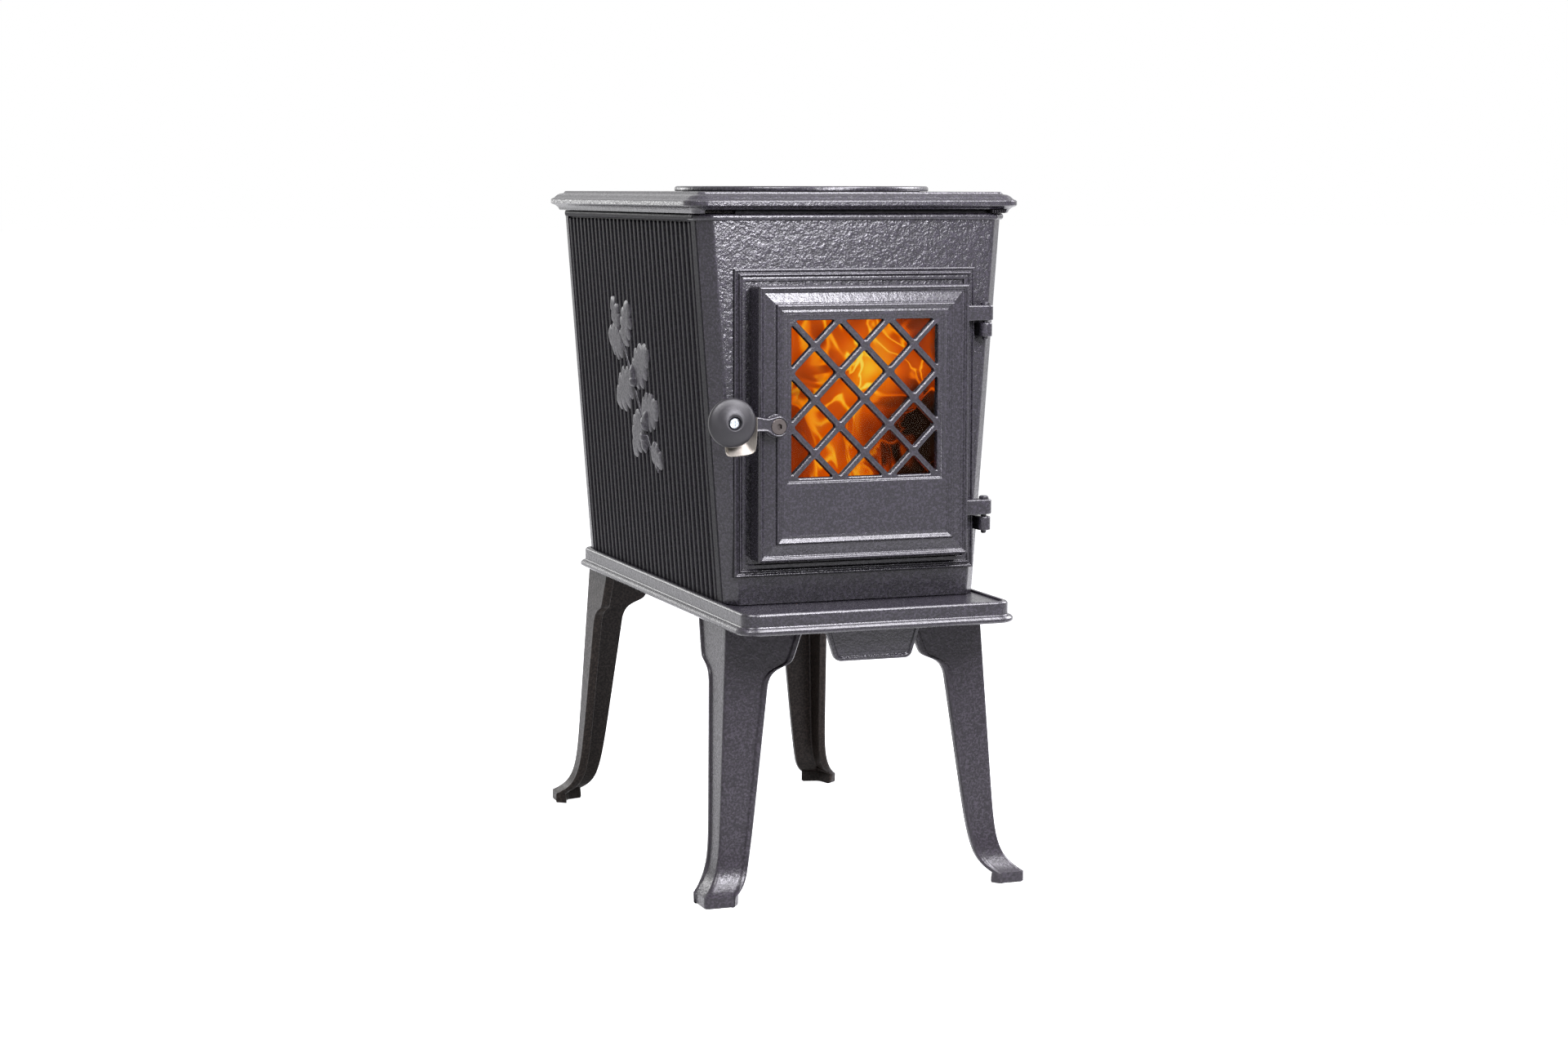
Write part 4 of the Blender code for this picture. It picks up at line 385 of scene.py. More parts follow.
def mitre(edge):
    """A test for the diagonal edges where a moulding turns a corner on a front."""
    run = (edge.verts[1].co - edge.verts[0].co).normalized()
    return abs(run.x) > 0.3 and abs(abs(run.x) - abs(run.z)) < 0.02


def hinge_eye(name, low, high, round_end, end_radius, top_radius, foot_radius):
    """A lug for a hinge pin: a block with one round end and eased edges."""
    eye = slab(name, low, high)
    bevel(eye, "EDGE", along(Z, round_end), end_radius, 10)
    bevel(eye, "FACE", facing(Z, 1), top_radius, 4)
    bevel(eye, "FACE", facing(Z, -1), foot_radius, 3)
    return eye


coarse_cast_paint = cast_paint("satin_paint_on_coarse_casting", "#1C1A1F", 2.2, 0.50, 0.23, gloss=0.36)
# The ribbed sides take a darker, duller copy of the stove paint: painted shade that keeps the leaning sides
# dark.
shaded_ribbed_paint = cast_paint("matt_paint_with_painted_shade_on_ribs", "#161518", 1.4, 0.04, 0.44, gloss=0.04)

BODY_BOTTOM_Z, BODY_TOP_Z = [corner.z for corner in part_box("front_plate")]
BODY_FRONT_Y, JOINT_Y = -0.1993, -0.1730
BOTTOM_HALF, TOP_HALF = 0.1220, 0.1474
WALL = 0.0080
CHAMFER_X, CHAMFER_Y = 0.0115, 0.0138
BEAD_Z = BODY_TOP_Z - 0.0058
# The bead in section: height over its foot, and reach.
BEAD = eased(((0.0, 0.0), (0.0002, 0.0020), (0.0016, 0.0030), (0.0042, 0.0030), (0.0055, 0.0018),
              (0.0058, 0.0010)), 0.0009)
DOOR_HALF, DOOR_LOW_Z, DOOR_HIGH_Z = 0.1010, 0.3072, 0.5525
FRAME_OUT = 0.0150
FRAME = ((0.0, 0.0), (0.0002, 0.0016), (0.0012, 0.0023), (0.0022, 0.0021), (0.0032, 0.0010),
         (0.0042, 0.0010), (0.0049, 0.0032), (0.0062, 0.0032), (0.0074, 0.0014), (0.0084, 0.0018),
         (0.0112, 0.0018), (0.0117, -0.0012))
DOORWAY_HALF, DOORWAY_IN = 0.0830, 0.0180
HINGE_X, HINGE_Y = 0.1225, -0.2100
LUG_LOWS = (DOOR_LOW_Z + 0.0350, DOOR_LOW_Z + 0.2120)
KNUCKLE_HALF, KNUCKLE_HEIGHT, KNUCKLE_ROOT_Y, HINGE_GAP = 0.0062, 0.0128, -0.1890, 0.0020
SHELF_HALF, SHELF_THICKNESS = 0.1375, 0.0080


def half_width(z):
    """Half the width of the body at a height."""
    return BOTTOM_HALF + (TOP_HALF - BOTTOM_HALF) * (z - BODY_BOTTOM_Z) / (BODY_TOP_Z - BODY_BOTTOM_Z)


def front_section(z, out):
    """The front plate in plan: rounded chamfers at its corners and short returns to the side plates."""
    half = half_width(z)
    chamfer = eased(((half - 0.030, BODY_FRONT_Y - out), (half - CHAMFER_X + 0.4 * out, BODY_FRONT_Y - out),
                     (half + out, BODY_FRONT_Y + CHAMFER_Y - 0.4 * out), (half + out, JOINT_Y)), 0.0022, 4)
    inner = half - WALL
    right_half = chamfer[1:] + [(inner, JOINT_Y), (inner, BODY_FRONT_Y + WALL + CHAMFER_Y * 0.6),
                                (inner - CHAMFER_X * 0.6, BODY_FRONT_Y + WALL)]
    return [(x, y, z) for x, y in right_half] + [(-x, y, z) for x, y in reversed(right_half)]


sections = [front_section(BODY_BOTTOM_Z + 0.0004, -0.0004), front_section(BODY_BOTTOM_Z + 0.0012, 0.0)]
sections += [front_section(BEAD_Z + rise, reach) for rise, reach in BEAD]
front_plate = grow("painted_front_plate", sections)

moulding = slab("moulding", (-DOOR_HALF - FRAME_OUT, BODY_FRONT_Y - 0.0006, DOOR_LOW_Z - FRAME_OUT),
                (DOOR_HALF + FRAME_OUT, BODY_FRONT_Y + 0.0040, DOOR_HIGH_Z + FRAME_OUT))
mould(moulding, Y, -1, eased(FRAME, 0.0006))
combine(front_plate, moulding, "UNION")
doorway = slab("doorway", (-DOORWAY_HALF, BODY_FRONT_Y - 0.03, DOOR_LOW_Z + DOORWAY_IN),
               (DOORWAY_HALF, BODY_FRONT_Y + 0.03, DOOR_HIGH_Z - DOORWAY_IN))
bevel(doorway, "EDGE", along(Y), 0.006, 5)
combine(front_plate, doorway, "DIFFERENCE")
for lug_low in LUG_LOWS:
    top = lug_low - HINGE_GAP
    knuckle = hinge_eye("knuckle", (HINGE_X - KNUCKLE_HALF, HINGE_Y - KNUCKLE_HALF, top - KNUCKLE_HEIGHT),
                        (HINGE_X + KNUCKLE_HALF, KNUCKLE_ROOT_Y, top), (Y, -1, HINGE_Y), 0.0061, 0.0015, 0.0009)
    combine(front_plate, knuckle, "UNION")
# The shelf closes the body at the top, behind the bead, and carries the air slider.
shelf = slab("shelf", (-SHELF_HALF, BODY_FRONT_Y + 0.0040, BODY_TOP_Z - SHELF_THICKNESS),
             (SHELF_HALF, BODY_FRONT_Y + 0.0233, BODY_TOP_Z - 0.0001))
combine(front_plate, shelf, "UNION")
bpy.ops.object.mode_set(mode="EDIT")
choose(front_plate, "EDGE", mitre)
bpy.ops.mesh.mark_sharp()
close(front_plate, coarse_cast_paint, "stove", "painted_iron", "front_plate", angle=32)
# Only the flat front is coarse. The mouldings, knuckles and chamfers were smoothed in the pattern, and the
# returns beside the ribs get the ribs' darker, duller paint: painted shade that keeps them as dark as the ribs.
FINE, RIBBED_SHADE = 1, 2
front_plate.data.materials.append(fine_cast_paint)
front_plate.data.materials.append(shaded_ribbed_paint)
for face in front_plate.data.polygons:
    if abs(face.normal.x) > 0.9:
        face.material_index = RIBBED_SHADE
    elif face.normal.y > -0.999 or abs(face.center.y - BODY_FRONT_Y) > 0.0001:
        face.material_index = FINE


# Side plates: ribbed castings that lean outwards. The ribs are half round, wider than the gaps between
# them, and end in a small arch under the bead. The same plate, mirrored, stands on the right.
SIDE_FRONT_Y, SIDE_REAR_Y = JOINT_Y + 0.0003, 0.2258
RIB_COUNT = 31
RIB_PITCH = (SIDE_REAR_Y - SIDE_FRONT_Y) / RIB_COUNT
RIB_HALF, RIB_HEIGHT, RIB_ROOT = 0.0040, 0.0020, 0.0010
RIB_FOOT_Z, RIB_TOP_Z = BODY_BOTTOM_Z + 0.0004, BODY_TOP_Z - 0.0068
LEAN = (TOP_HALF - BOTTOM_HALF) / (BODY_TOP_Z - BODY_BOTTOM_Z)


def place_verts(piece, move):
    """Moves each point of the open mesh by a formula of its place."""
    shape = bmesh.from_edit_mesh(piece.data)
    for vert in shape.verts:
        vert.co = move(vert.co)
    bmesh.update_edit_mesh(piece.data)


def side_section(side, y):
    """The side plate cut across: a straight wall that leans, and the bead at its top."""
    low, foot = BODY_BOTTOM_Z + 0.0002, BEAD_Z - 0.0002
    points = [(half_width(low) - RIB_HEIGHT, low), (half_width(foot) - RIB_HEIGHT, foot)]
    points += [(half_width(BEAD_Z + rise) + reach, BEAD_Z + rise) for rise, reach in BEAD]
    points += [(half_width(BODY_TOP_Z) - WALL, BODY_TOP_Z), (half_width(low) - WALL, low)]
    return [(side * x, y, z) for x, z in points]


def make_side(node, side):
    """One side plate with its ribs."""
    plate = grow("painted_" + node, [side_section(side, y) for y in (SIDE_FRONT_Y, SIDE_REAR_Y)])
    crest, root = side * BOTTOM_HALF, side * (BOTTOM_HALF - RIB_HEIGHT - RIB_ROOT)
    first = SIDE_FRONT_Y + RIB_PITCH / 2
    ribs = slab("ribs", (min(crest, root), first - RIB_HALF, RIB_FOOT_Z),
                (max(crest, root), first + RIB_HALF, RIB_TOP_Z))
    bevel(ribs, "EDGE", along(X, (Z, RIB_TOP_Z - 0.001, 1)), RIB_HALF * 0.97, 6)
    bevel(ribs, "EDGE", lambda edge: all(abs(vert.co.x - crest) < 1e-6 for vert in edge.verts)
          and edge.verts[0].co.z + edge.verts[1].co.z > 2 * BODY_BOTTOM_Z + 0.01, 0.0019, 4, profile=0.5)
    bpy.ops.mesh.select_all(action="SELECT")
    for _ in range(RIB_COUNT - 1):
        bpy.ops.mesh.duplicate_move(TRANSFORM_OT_translate={"value": (0.0, RIB_PITCH, 0.0)})
    place_verts(ribs, lambda co: co + Vector((side * LEAN * (co.z - BODY_BOTTOM_Z), 0.0, 0.0)))
    combine(plate, ribs, "UNION")
    close(plate, shaded_ribbed_paint, "stove", "painted_iron", node, angle=32)


make_side("side_plate_left", -1)
make_side("side_plate_right", 1)


# Top plate: one casting with a flat field, a step, an ogee and a thin lip, coved underneath. It rests
# on the body and has a round hole for the hob lid, and a slot in front for the air slider.
TOP_LOW, TOP_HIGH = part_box("top_plate")
TOP_Z, LID_Y = TOP_HIGH.z, -0.0590
LIP_LOW_Z, LIP_HIGH_Z = TOP_Z - 0.0120, TOP_Z - 0.0086
TOP_CORNER, HOB_HOLE_RADIUS = 0.0200, 0.1111
OGEE = ((0.0, 0.0), (0.0008, 0.0010), (0.0030, 0.0018), (0.0062, 0.0046), (0.0092, 0.0060),
        (0.0128, 0.0064), (0.0145, 0.0086), (0.0165, 0.0086))
COVE = ((0.0, 0.0), (0.0012, 0.0010), (0.0045, 0.0022), (0.0072, 0.0044), (0.0084, 0.0067),
        (0.0090, 0.0072), (0.0186, 0.0072), (0.0188, -0.0040))
SLIDER_LOW, SLIDER_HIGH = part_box("air_slider")
SLIDER_TRAVEL, SLOT_RIGHT_X = 0.0300, 0.1465
top_plate = slab("painted_top_plate", (TOP_LOW.x, TOP_LOW.y, LIP_LOW_Z), (TOP_HIGH.x, TOP_HIGH.y, LIP_HIGH_Z))
bevel(top_plate, "EDGE", along(Z), TOP_CORNER, 12)
mould(top_plate, Z, 1, eased(OGEE, 0.0008))
mould(top_plate, Z, -1, eased(COVE, 0.0008))
hob_hole = begin("hob_hole", bpy.ops.mesh.primitive_cylinder_add, vertices=96, radius=HOB_HOLE_RADIUS,
                 depth=0.06, location=(0.0, LID_Y, TOP_Z))
bpy.ops.object.transform_apply(location=True, rotation=True, scale=True)
combine(top_plate, hob_hole, "DIFFERENCE")
slider_slot = slab("slider_slot",
                   (SLIDER_LOW.x - SLIDER_TRAVEL - 0.0010, BODY_FRONT_Y - 0.0080, TOP_LOW.z - 0.003),
                   (SLOT_RIGHT_X, BODY_FRONT_Y + 0.0085, TOP_LOW.z + 0.0036))
combine(top_plate, slider_slot, "DIFFERENCE")
close(top_plate, fine_cast_paint, "stove", "painted_iron", "top_plate", angle=32)


# Air slider: a steel strip that slides in the slot over the door and uncovers the air holes, painted
# black, with a toothed tab for the thumb.
sooty_paint = cast_paint("dull_sooty_paint", "#0E0D0F", 2.0, 0.05, 0.50, gloss=0.08)
STRIP_DEPTH, TAB_LENGTH, TOOTH_COUNT, TOOTH_PITCH, TOOTH_HALF = 0.0024, 0.0138, 6, 0.0023, 0.0008
air_slider = slab("toothed_air_slider", (SLIDER_LOW.x, SLIDER_HIGH.y - STRIP_DEPTH, SLIDER_LOW.z), SLIDER_HIGH)
tab = slab("tab", (SLIDER_HIGH.x - TAB_LENGTH, SLIDER_LOW.y + 0.0016, SLIDER_LOW.z), SLIDER_HIGH)
bevel(tab, "EDGE", along(Z, (Y, -1, SLIDER_LOW.y + 0.002)), 0.0012, 3)
combine(air_slider, tab, "UNION")
for tooth_number in range(TOOTH_COUNT):
    tooth_x = SLIDER_HIGH.x - 0.0127 + TOOTH_PITCH * tooth_number
    tooth = slab("tooth", (tooth_x - TOOTH_HALF, SLIDER_LOW.y, SLIDER_LOW.z + 0.0003),
                 (tooth_x + TOOTH_HALF, SLIDER_LOW.y + 0.0030, SLIDER_HIGH.z - 0.0003))
    bevel(tooth, "EDGE", along(Z, (Y, -1, SLIDER_LOW.y + 0.001)), 0.0006, 2)
    combine(air_slider, tooth, "UNION")
close(air_slider, sooty_paint, "air_slider", "painted_iron", "air_slider")


# Hob lid: a loose iron disc with a raised rim, a spigot below that centres it in the hole, and a slot
# for the lifting hook.
def spun(name, profile, place, axis, steps=64):
    """A turned shape: points of (level along the axis, radius), spun about it; open in edit mode."""
    piece = begin(name, bpy.ops.mesh.primitive_plane_add, size=0.001)
    bpy.ops.object.mode_set(mode="EDIT")
    bpy.ops.mesh.select_mode(type="VERT")
    bpy.ops.mesh.select_all(action="SELECT")
    bpy.ops.mesh.merge(type="CENTER")
    spin_axis = Vector([1.0 if axis == number else 0.0 for number in range(3)])
    across = Vector((0.0, 0.0, 1.0)) if axis == Y else Vector((0.0, 1.0, 0.0))
    base = Vector(place)
    base[axis] = 0.0
    points = [base + spin_axis * level + across * radius for level, radius in profile]
    place_verts(piece, lambda co: points[0])
    for before, here in zip(points, points[1:]):
        bpy.ops.mesh.extrude_region_move(TRANSFORM_OT_translate={"value": here - before})
    bpy.ops.mesh.select_all(action="SELECT")
    bpy.ops.mesh.spin(steps=steps, angle=2 * math.pi, center=base, axis=spin_axis)
    bpy.ops.mesh.select_all(action="SELECT")
    bpy.ops.mesh.remove_doubles(threshold=0.000002)
    return piece


# The lid in section: height over the top plate, and radius.
LID = ((-0.0070, 0.0), (-0.0070, 0.1096), (0.0003, 0.1106), (0.0003, 0.1184), (0.0010, 0.1190),
       (0.0036, 0.1190), (0.0050, 0.1174), (0.0050, 0.1090), (0.0036, 0.1070), (0.0036, 0.0))
LIFTER_HALF_LENGTH, LIFTER_NEAR, LIFTER_FAR = 0.0120, 0.0812, 0.0902
hob_lid = spun("painted_hob_lid", eased([(TOP_Z + rise, radius) for rise, radius in LID], 0.0008, 2),
               (0.0, LID_Y, 0.0), Z, 96)
lifter_slot = slab("lifter_slot", (-LIFTER_HALF_LENGTH, LID_Y - LIFTER_FAR, TOP_Z - 0.0005),
                   (LIFTER_HALF_LENGTH, LID_Y - LIFTER_NEAR, TOP_Z + 0.01))
bevel(lifter_slot, "EDGE", along(Z), 0.0043, 6)
combine(hob_lid, lifter_slot, "DIFFERENCE")
close(hob_lid, fine_cast_paint, "hob_lid", "painted_iron", "hob_lid", angle=32)


# Legs: angle-section castings, bolted up by the tie rods. Each flange has a thin bead along its edge,
# widens in a shoulder under the base, and sweeps out into a foot.
leg_cast_paint = cast_paint("satin_paint_on_legs", "#211E23", 2.0, 0.24, 0.27, gloss=0.24)
# The rear legs' copy of the leg paint is browner and duller than the front legs'.
rear_leg_cast_paint = cast_paint("brown_dull_paint_on_rear_legs", "#201B18", 2.0, 0.12, 0.34, gloss=0.10)
LEG_TOP_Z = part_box("leg_front_left")[1].z
# Drop below the top of the leg, and width that the shoulder adds.
SHOULDER = ((0.0700, 0.0000), (0.0640, 0.0005), (0.0600, 0.0015), (0.0570, 0.0028), (0.0545, 0.0045),
            (0.0523, 0.0068), (0.0505, 0.0095), (0.0492, 0.0122), (0.0480, 0.0150), (0.0468, 0.0178),
            (0.0455, 0.0205), (0.0438, 0.0226), (0.0415, 0.0240), (0.0385, 0.0252), (0.0355, 0.0262),
            (0.0000, 0.0370))
TOE_HEIGHT, FLARE_LENGTH = 0.0100, 0.0125
LEG_LEVELS = [0.0, 0.0012, 0.0050, 0.0085, 0.0100]
LEG_LEVELS += [TOE_HEIGHT + FLARE_LENGTH * share for share in
               (0.15, 0.3, 0.5, 0.7, 0.95, 1.2, 1.5, 1.8, 2.2, 2.7, 3.3, 4.0, 5.0, 6.2)]
LEG_LEVELS += [0.105, 0.130, 0.155, 0.175] + [LEG_TOP_Z - drop for drop, _ in SHOULDER]
PAD_THICKNESS = 0.0070
PAD = ((0.0033, 0.0033), (0.0460, 0.0033), (0.0460, 0.0322), (0.0322, 0.0460), (0.0033, 0.0460))


def leg_flare(z):
    """How far the outer corner stands out at a height."""
    straight = 0.0125 * (1 - max(z, TOE_HEIGHT) / LEG_TOP_Z)
    return straight + 0.0190 * math.exp(-max(z - TOE_HEIGHT, 0.0) / FLARE_LENGTH)


def leg_width(z, wider):
    """Width of each flange at a height."""
    width = 0.0230 + wider + 0.0795 * min(z, LEG_TOP_Z - SHOULDER[0][0]) + 0.0070 * math.exp(-(z / 0.024) ** 2)
    drop = LEG_TOP_Z - z
    for (far, grain_crest_glint), (near, wide) in zip(SHOULDER, SHOULDER[1:]):
        if near <= drop <= far:
            return width + grain_crest_glint + (wide - grain_crest_glint) * (far - drop) / (far - near)
    return width


def leg_section(z, wider):
    """The whole section, symmetrical about its diagonal."""
    width, wall = leg_width(z, wider), 0.0065 + 0.0085 * math.exp(-(z / 0.017) ** 2)
    toe = 0.0052 * math.exp(-(z / 0.014) ** 2)
    bend = 0.0032 + 0.0050 * math.exp(-(z / 0.020) ** 2)
    flange = eased([(0.0060, 0.0), (0.0095, 0.0), (width - 0.0066, 0.0), (width - 0.0054, -0.0018),
                    (width - 0.0014 - toe, -0.0018), (width, 0.0004 + toe), (width, 0.0065 + 0.3 * toe),
                    (wall + 0.004, 0.0065 + 0.3 * toe)], 0.0009 + 0.5 * toe, 3)[1:-1]
    corner = eased([(0.0, 0.0090), (0.0, 0.0), (0.0090, 0.0)], bend, 6)[1:-1]
    inner = eased([(wall + 0.004, 0.0065), (wall, wall), (0.0065, wall + 0.004)], 0.0020, 3)[1:-1]
    return corner + flange + inner + [(b, a) for a, b in reversed(flange)]


def make_leg(node, paint, side, towards, end_y, wider, lean):
    """One leg: its section drawn at each height, where the outer corner is at that height."""
    corner_x = side * (BASE_HIGH.x - 0.0090)
    sections = []
    for number, z in enumerate(LEG_LEVELS):
        flare = leg_flare(z)
        drawn_in = 0.0010 if number == 0 else 0.0
        sections.append([(corner_x + lean * (1 - z / LEG_TOP_Z)
                          + side * (flare - a - drawn_in * (1 if a < 0.012 else -1)),
                          end_y - towards * (flare - b - drawn_in * (1 if b < 0.012 else -1)), z)
                         for a, b in leg_section(z, wider)])
    leg = grow("painted_" + node, sections)
    pad = grow("pad", [[(corner_x - side * a, end_y + towards * b, z) for a, b in PAD]
                       for z in (LEG_TOP_Z - PAD_THICKNESS, LEG_TOP_Z)])
    combine(leg, pad, "UNION")
    close(leg, paint, "stove", "painted_iron", node, angle=36)


FRONT_LEG_Y, REAR_LEG_Y = BODY_FRONT_Y - 0.0023, BASE_HIGH.y - 0.0175
# Hand-fitted castings: each leg stands a little differently.
make_leg("leg_front_left", leg_cast_paint, -1, 1, FRONT_LEG_Y, 0.0032, 0.0)
make_leg("leg_front_right", leg_cast_paint, 1, 1, FRONT_LEG_Y, 0.0010, 0.0030)
make_leg("leg_rear_left", rear_leg_cast_paint, -1, -1, REAR_LEG_Y, 0.0, -0.0032)
make_leg("leg_rear_right", rear_leg_cast_paint, 1, -1, REAR_LEG_Y, 0.0, -0.0040)


# Apron: a small cast tab with rounded lower corners and a sunk panel, under the ash lip. It has the
# same fine casting and paint as the base plate.
APRON_LOW, APRON_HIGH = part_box("front_apron")
APRON_PANEL = ((0.0, 0.0), (0.0008, 0.0012), (0.0030, 0.0012), (0.0042, 0.0000), (0.0075, 0.0000))
apron_points = eased(((0.0, APRON_LOW.z), (0.0360, APRON_LOW.z), (0.0483, APRON_HIGH.z)), 0.0060, 6)[1:]
apron_points += [(-x, z) for x, z in reversed(apron_points)]
apron = grow("painted_front_apron",
             [[(x, y, z) for x, z in apron_points] for y in (APRON_HIGH.y, APRON_LOW.y + 0.0012)])
mould(apron, Y, -1, eased(APRON_PANEL, 0.0006))
close(apron, fine_cast_paint, "stove", "painted_iron", "front_apron", angle=32)


# Door: one casting with a moulded face, a lattice over the window, hinge lugs and a boss for the latch.
# A rope in its back presses on the front plate.
DOOR_BACK_Y, DOOR_BEAD_Y = BODY_FRONT_Y - 0.0007, BODY_FRONT_Y - 0.0232
DOOR_MIDDLE_X = 0.0012
PANEL_Y = DOOR_BEAD_Y - 0.0002
DOOR_FACE = ((0.0, 0.0), (0.0002, 0.0014), (0.0010, 0.0030), (0.0021, 0.0036), (0.0030, 0.0032),
             (0.0036, 0.0021), (0.0044, 0.0020), (0.0051, 0.0008), (0.0064, 0.0006), (0.0142, 0.0030),
             (0.0157, 0.0030), (0.0162, 0.0050), (0.0170, 0.0059), (0.0180, 0.0058), (0.0188, 0.0048),
             (0.0198, 0.0046), (0.0206, 0.0036), (0.0216, 0.0036), (0.0230, 0.0042), (0.0244, 0.0038))
# From the edge inwards: the rim, the groove for the rope, and the hollow.
DOOR_BACK = ((0.0, 0.0), (0.0055, 0.0), (0.0056, -0.0065), (0.0115, -0.0065), (0.0116, -0.0035),
             (0.0145, -0.0035), (0.0150, -0.0145))
RECESS_HALF, RECESS_LOW_Z, RECESS_HIGH_Z = 0.0750, 0.3770, 0.5268
RECESS_EDGE = ((0.0, 0.0), (0.0006, 0.0007), (0.0016, 0.0009), (0.0021, 0.0015), (0.0025, 0.0016))
LATCH_X, LATCH_Z = -0.0850, 0.4295
BOSS_RADIUS, BOSS_FOOT_Y, BOSS_FACE_Y = 0.0105, DOOR_BEAD_Y + 0.0040, DOOR_BEAD_Y - 0.0027
LUG_HALF, LUG_HEIGHT = 0.0070, 0.0137
WINDOW_HALF, WINDOW_LOW_Z, WINDOW_HIGH_Z = 0.0711, 0.3792, 0.5232
LATTICE_Y = PANEL_Y + 0.0014
CELLS, BAR_HALF = 6, 0.0027


def join(pieces):
    """Makes one piece of several, which keeps the name of the first."""
    leave_edit()
    pick(*pieces)
    bpy.ops.object.join()
    return pieces[0]


door = slab("painted_door", (DOOR_MIDDLE_X - DOOR_HALF, DOOR_BEAD_Y + 0.0036, DOOR_LOW_Z),
            (DOOR_MIDDLE_X + DOOR_HALF, DOOR_BACK_Y, DOOR_HIGH_Z))
mould(door, Y, -1, eased(DOOR_FACE, 0.0005, 2))
mould(door, Y, 1, DOOR_BACK)
bevel(door, "EDGE", lambda edge: abs(edge.verts[0].co.y - edge.verts[1].co.y) > 0.015
      and abs(abs(edge.verts[0].co.x - DOOR_MIDDLE_X) - DOOR_HALF) < 1e-5, 0.0030, 4)
recess = slab("recess", (DOOR_MIDDLE_X - RECESS_HALF, DOOR_BEAD_Y - 0.0100, RECESS_LOW_Z),
              (DOOR_MIDDLE_X + RECESS_HALF, PANEL_Y - 0.0002, RECESS_HIGH_Z))
mould(recess, Y, 1, eased(RECESS_EDGE, 0.0003, 2))
combine(door, recess, "DIFFERENCE")
boss = spun("boss", eased(((BOSS_FOOT_Y, 0.0), (BOSS_FOOT_Y, BOSS_RADIUS), (BOSS_FACE_Y, BOSS_RADIUS),
                           (BOSS_FACE_Y, 0.0)), 0.0009), (LATCH_X, 0.0, LATCH_Z), Y, 40)
combine(door, boss, "UNION")
for lug_low in LUG_LOWS:
    lug = hinge_eye("lug", (DOOR_HALF - 0.003, HINGE_Y - LUG_HALF, lug_low),
                    (HINGE_X + LUG_HALF, HINGE_Y + LUG_HALF, lug_low + LUG_HEIGHT),
                    (X, HINGE_X, 1), 0.0069, 0.0016, 0.0010)
    combine(door, lug, "UNION")

# The openings of the lattice are diamonds, cut off where they meet the edge of the window.
cell_width = 2 * WINDOW_HALF / CELLS
cell_height = (WINDOW_HIGH_Z - WINDOW_LOW_Z) / CELLS
across_bar = BAR_HALF * math.hypot(cell_width, cell_height) / cell_height
cells = []
for column in range(CELLS + 1):
    for row in range(CELLS + 1):
        if (column + row) % 2 == 0:
            continue
        cell = begin("cell", bpy.ops.mesh.primitive_cylinder_add, vertices=4, radius=1.0, depth=0.03,
                     location=(DOOR_MIDDLE_X - WINDOW_HALF + column * cell_width, LATTICE_Y,
                               WINDOW_LOW_Z + row * cell_height), rotation=(math.pi / 2, 0.0, 0.0))
        cell.scale = (cell_width - across_bar, cell_height - across_bar, 1.0)
        bpy.ops.object.transform_apply(location=True, rotation=True, scale=True)
        bpy.ops.object.mode_set(mode="EDIT")
        for crossed, point, normal in (
            (column == 0, (DOOR_MIDDLE_X - WINDOW_HALF + 0.0012, 0, 0), (-1, 0, 0)),
            (column == CELLS, (DOOR_MIDDLE_X + WINDOW_HALF - 0.0012, 0, 0), (1, 0, 0)),
            (row == 0, (0, 0, WINDOW_LOW_Z + 0.0028), (0, 0, -1)),
            (row == CELLS, (0, 0, WINDOW_HIGH_Z - 0.0012), (0, 0, 1)),
        ):
            if crossed:
                bpy.ops.mesh.select_all(action="SELECT")
                bpy.ops.mesh.bisect(plane_co=point, plane_no=normal, use_fill=True, clear_outer=True)
        bevel(cell, "EDGE", along(Y), 0.0022, 4)
        cells.append(cell)
combine(door, join(cells), "DIFFERENCE")
bpy.ops.object.mode_set(mode="EDIT")


def lattice_edge(edge):
    """The front edges of the lattice's openings."""
    inside = all(abs(vert.co.y - LATTICE_Y) < 1e-6 and abs(vert.co.x - DOOR_MIDDLE_X) < WINDOW_HALF
                 and WINDOW_LOW_Z < vert.co.z < WINDOW_HIGH_Z for vert in edge.verts)
    return inside and any(abs(face.normal.y) < 0.1 for face in edge.link_faces)


bevel(door, "EDGE", lattice_edge, 0.0017, 4, clamp_overlap=False)
choose(door, "EDGE", lambda edge: mitre(edge) and (
    abs(edge.verts[0].co.x - DOOR_MIDDLE_X) > RECESS_HALF - 0.0008
    or not RECESS_LOW_Z + 0.0005 < edge.verts[0].co.z < RECESS_HIGH_Z - 0.0006))
bpy.ops.mesh.mark_sharp()
close(door, fine_cast_paint, "door", "painted_iron", "door", angle=32)


# Latch: a cast arm with a raised edge, which turns on a countersunk socket screw in the door's boss. A
# spring washer keeps it from dropping by itself, and a round peg in the front plate stops it.
def plain_metal(name, colour, roughness, grain_mm, shade_change):
    """Bare or plated steel: the light on it is broken up by the fine marks of how it was made."""
    material, tree = new_material(name)
    marks = noise(tree, object_place(tree), 1000 / grain_mm, 3.0)
    low = [max(c - shade_change * c, 0.0) for c in linear(colour)[:3]]
    give_surface(tree, Base_Color=blend(tree, marks, (*low, 1.0), linear(colour)), Metallic=1.0,
                 Roughness=stretch(tree, marks, 0.0, 1.0, roughness + 0.1, roughness - 0.1),
                 Normal=bumps(tree, marks, 0.00012, 0.5))
    return material


def give(material, *starts):
    """Gives a material to the solids whose names start like one of these, and that scene.py keeps."""
    for name, piece in nodes.items():
        if name.startswith(starts):
            piece.material_slots[0].material = material


dull_black_steel = plain_metal("blackened_steel_screw", "#4E4947", 0.40, 0.8, 0.45)
dark_steel = plain_metal("oiled_dark_steel", "#4A4644", 0.50, 1.5, 0.4)
bright_zinc = plain_metal("bright_zinc_plating", "#DCE4EC", 0.24, 0.9, 0.25)

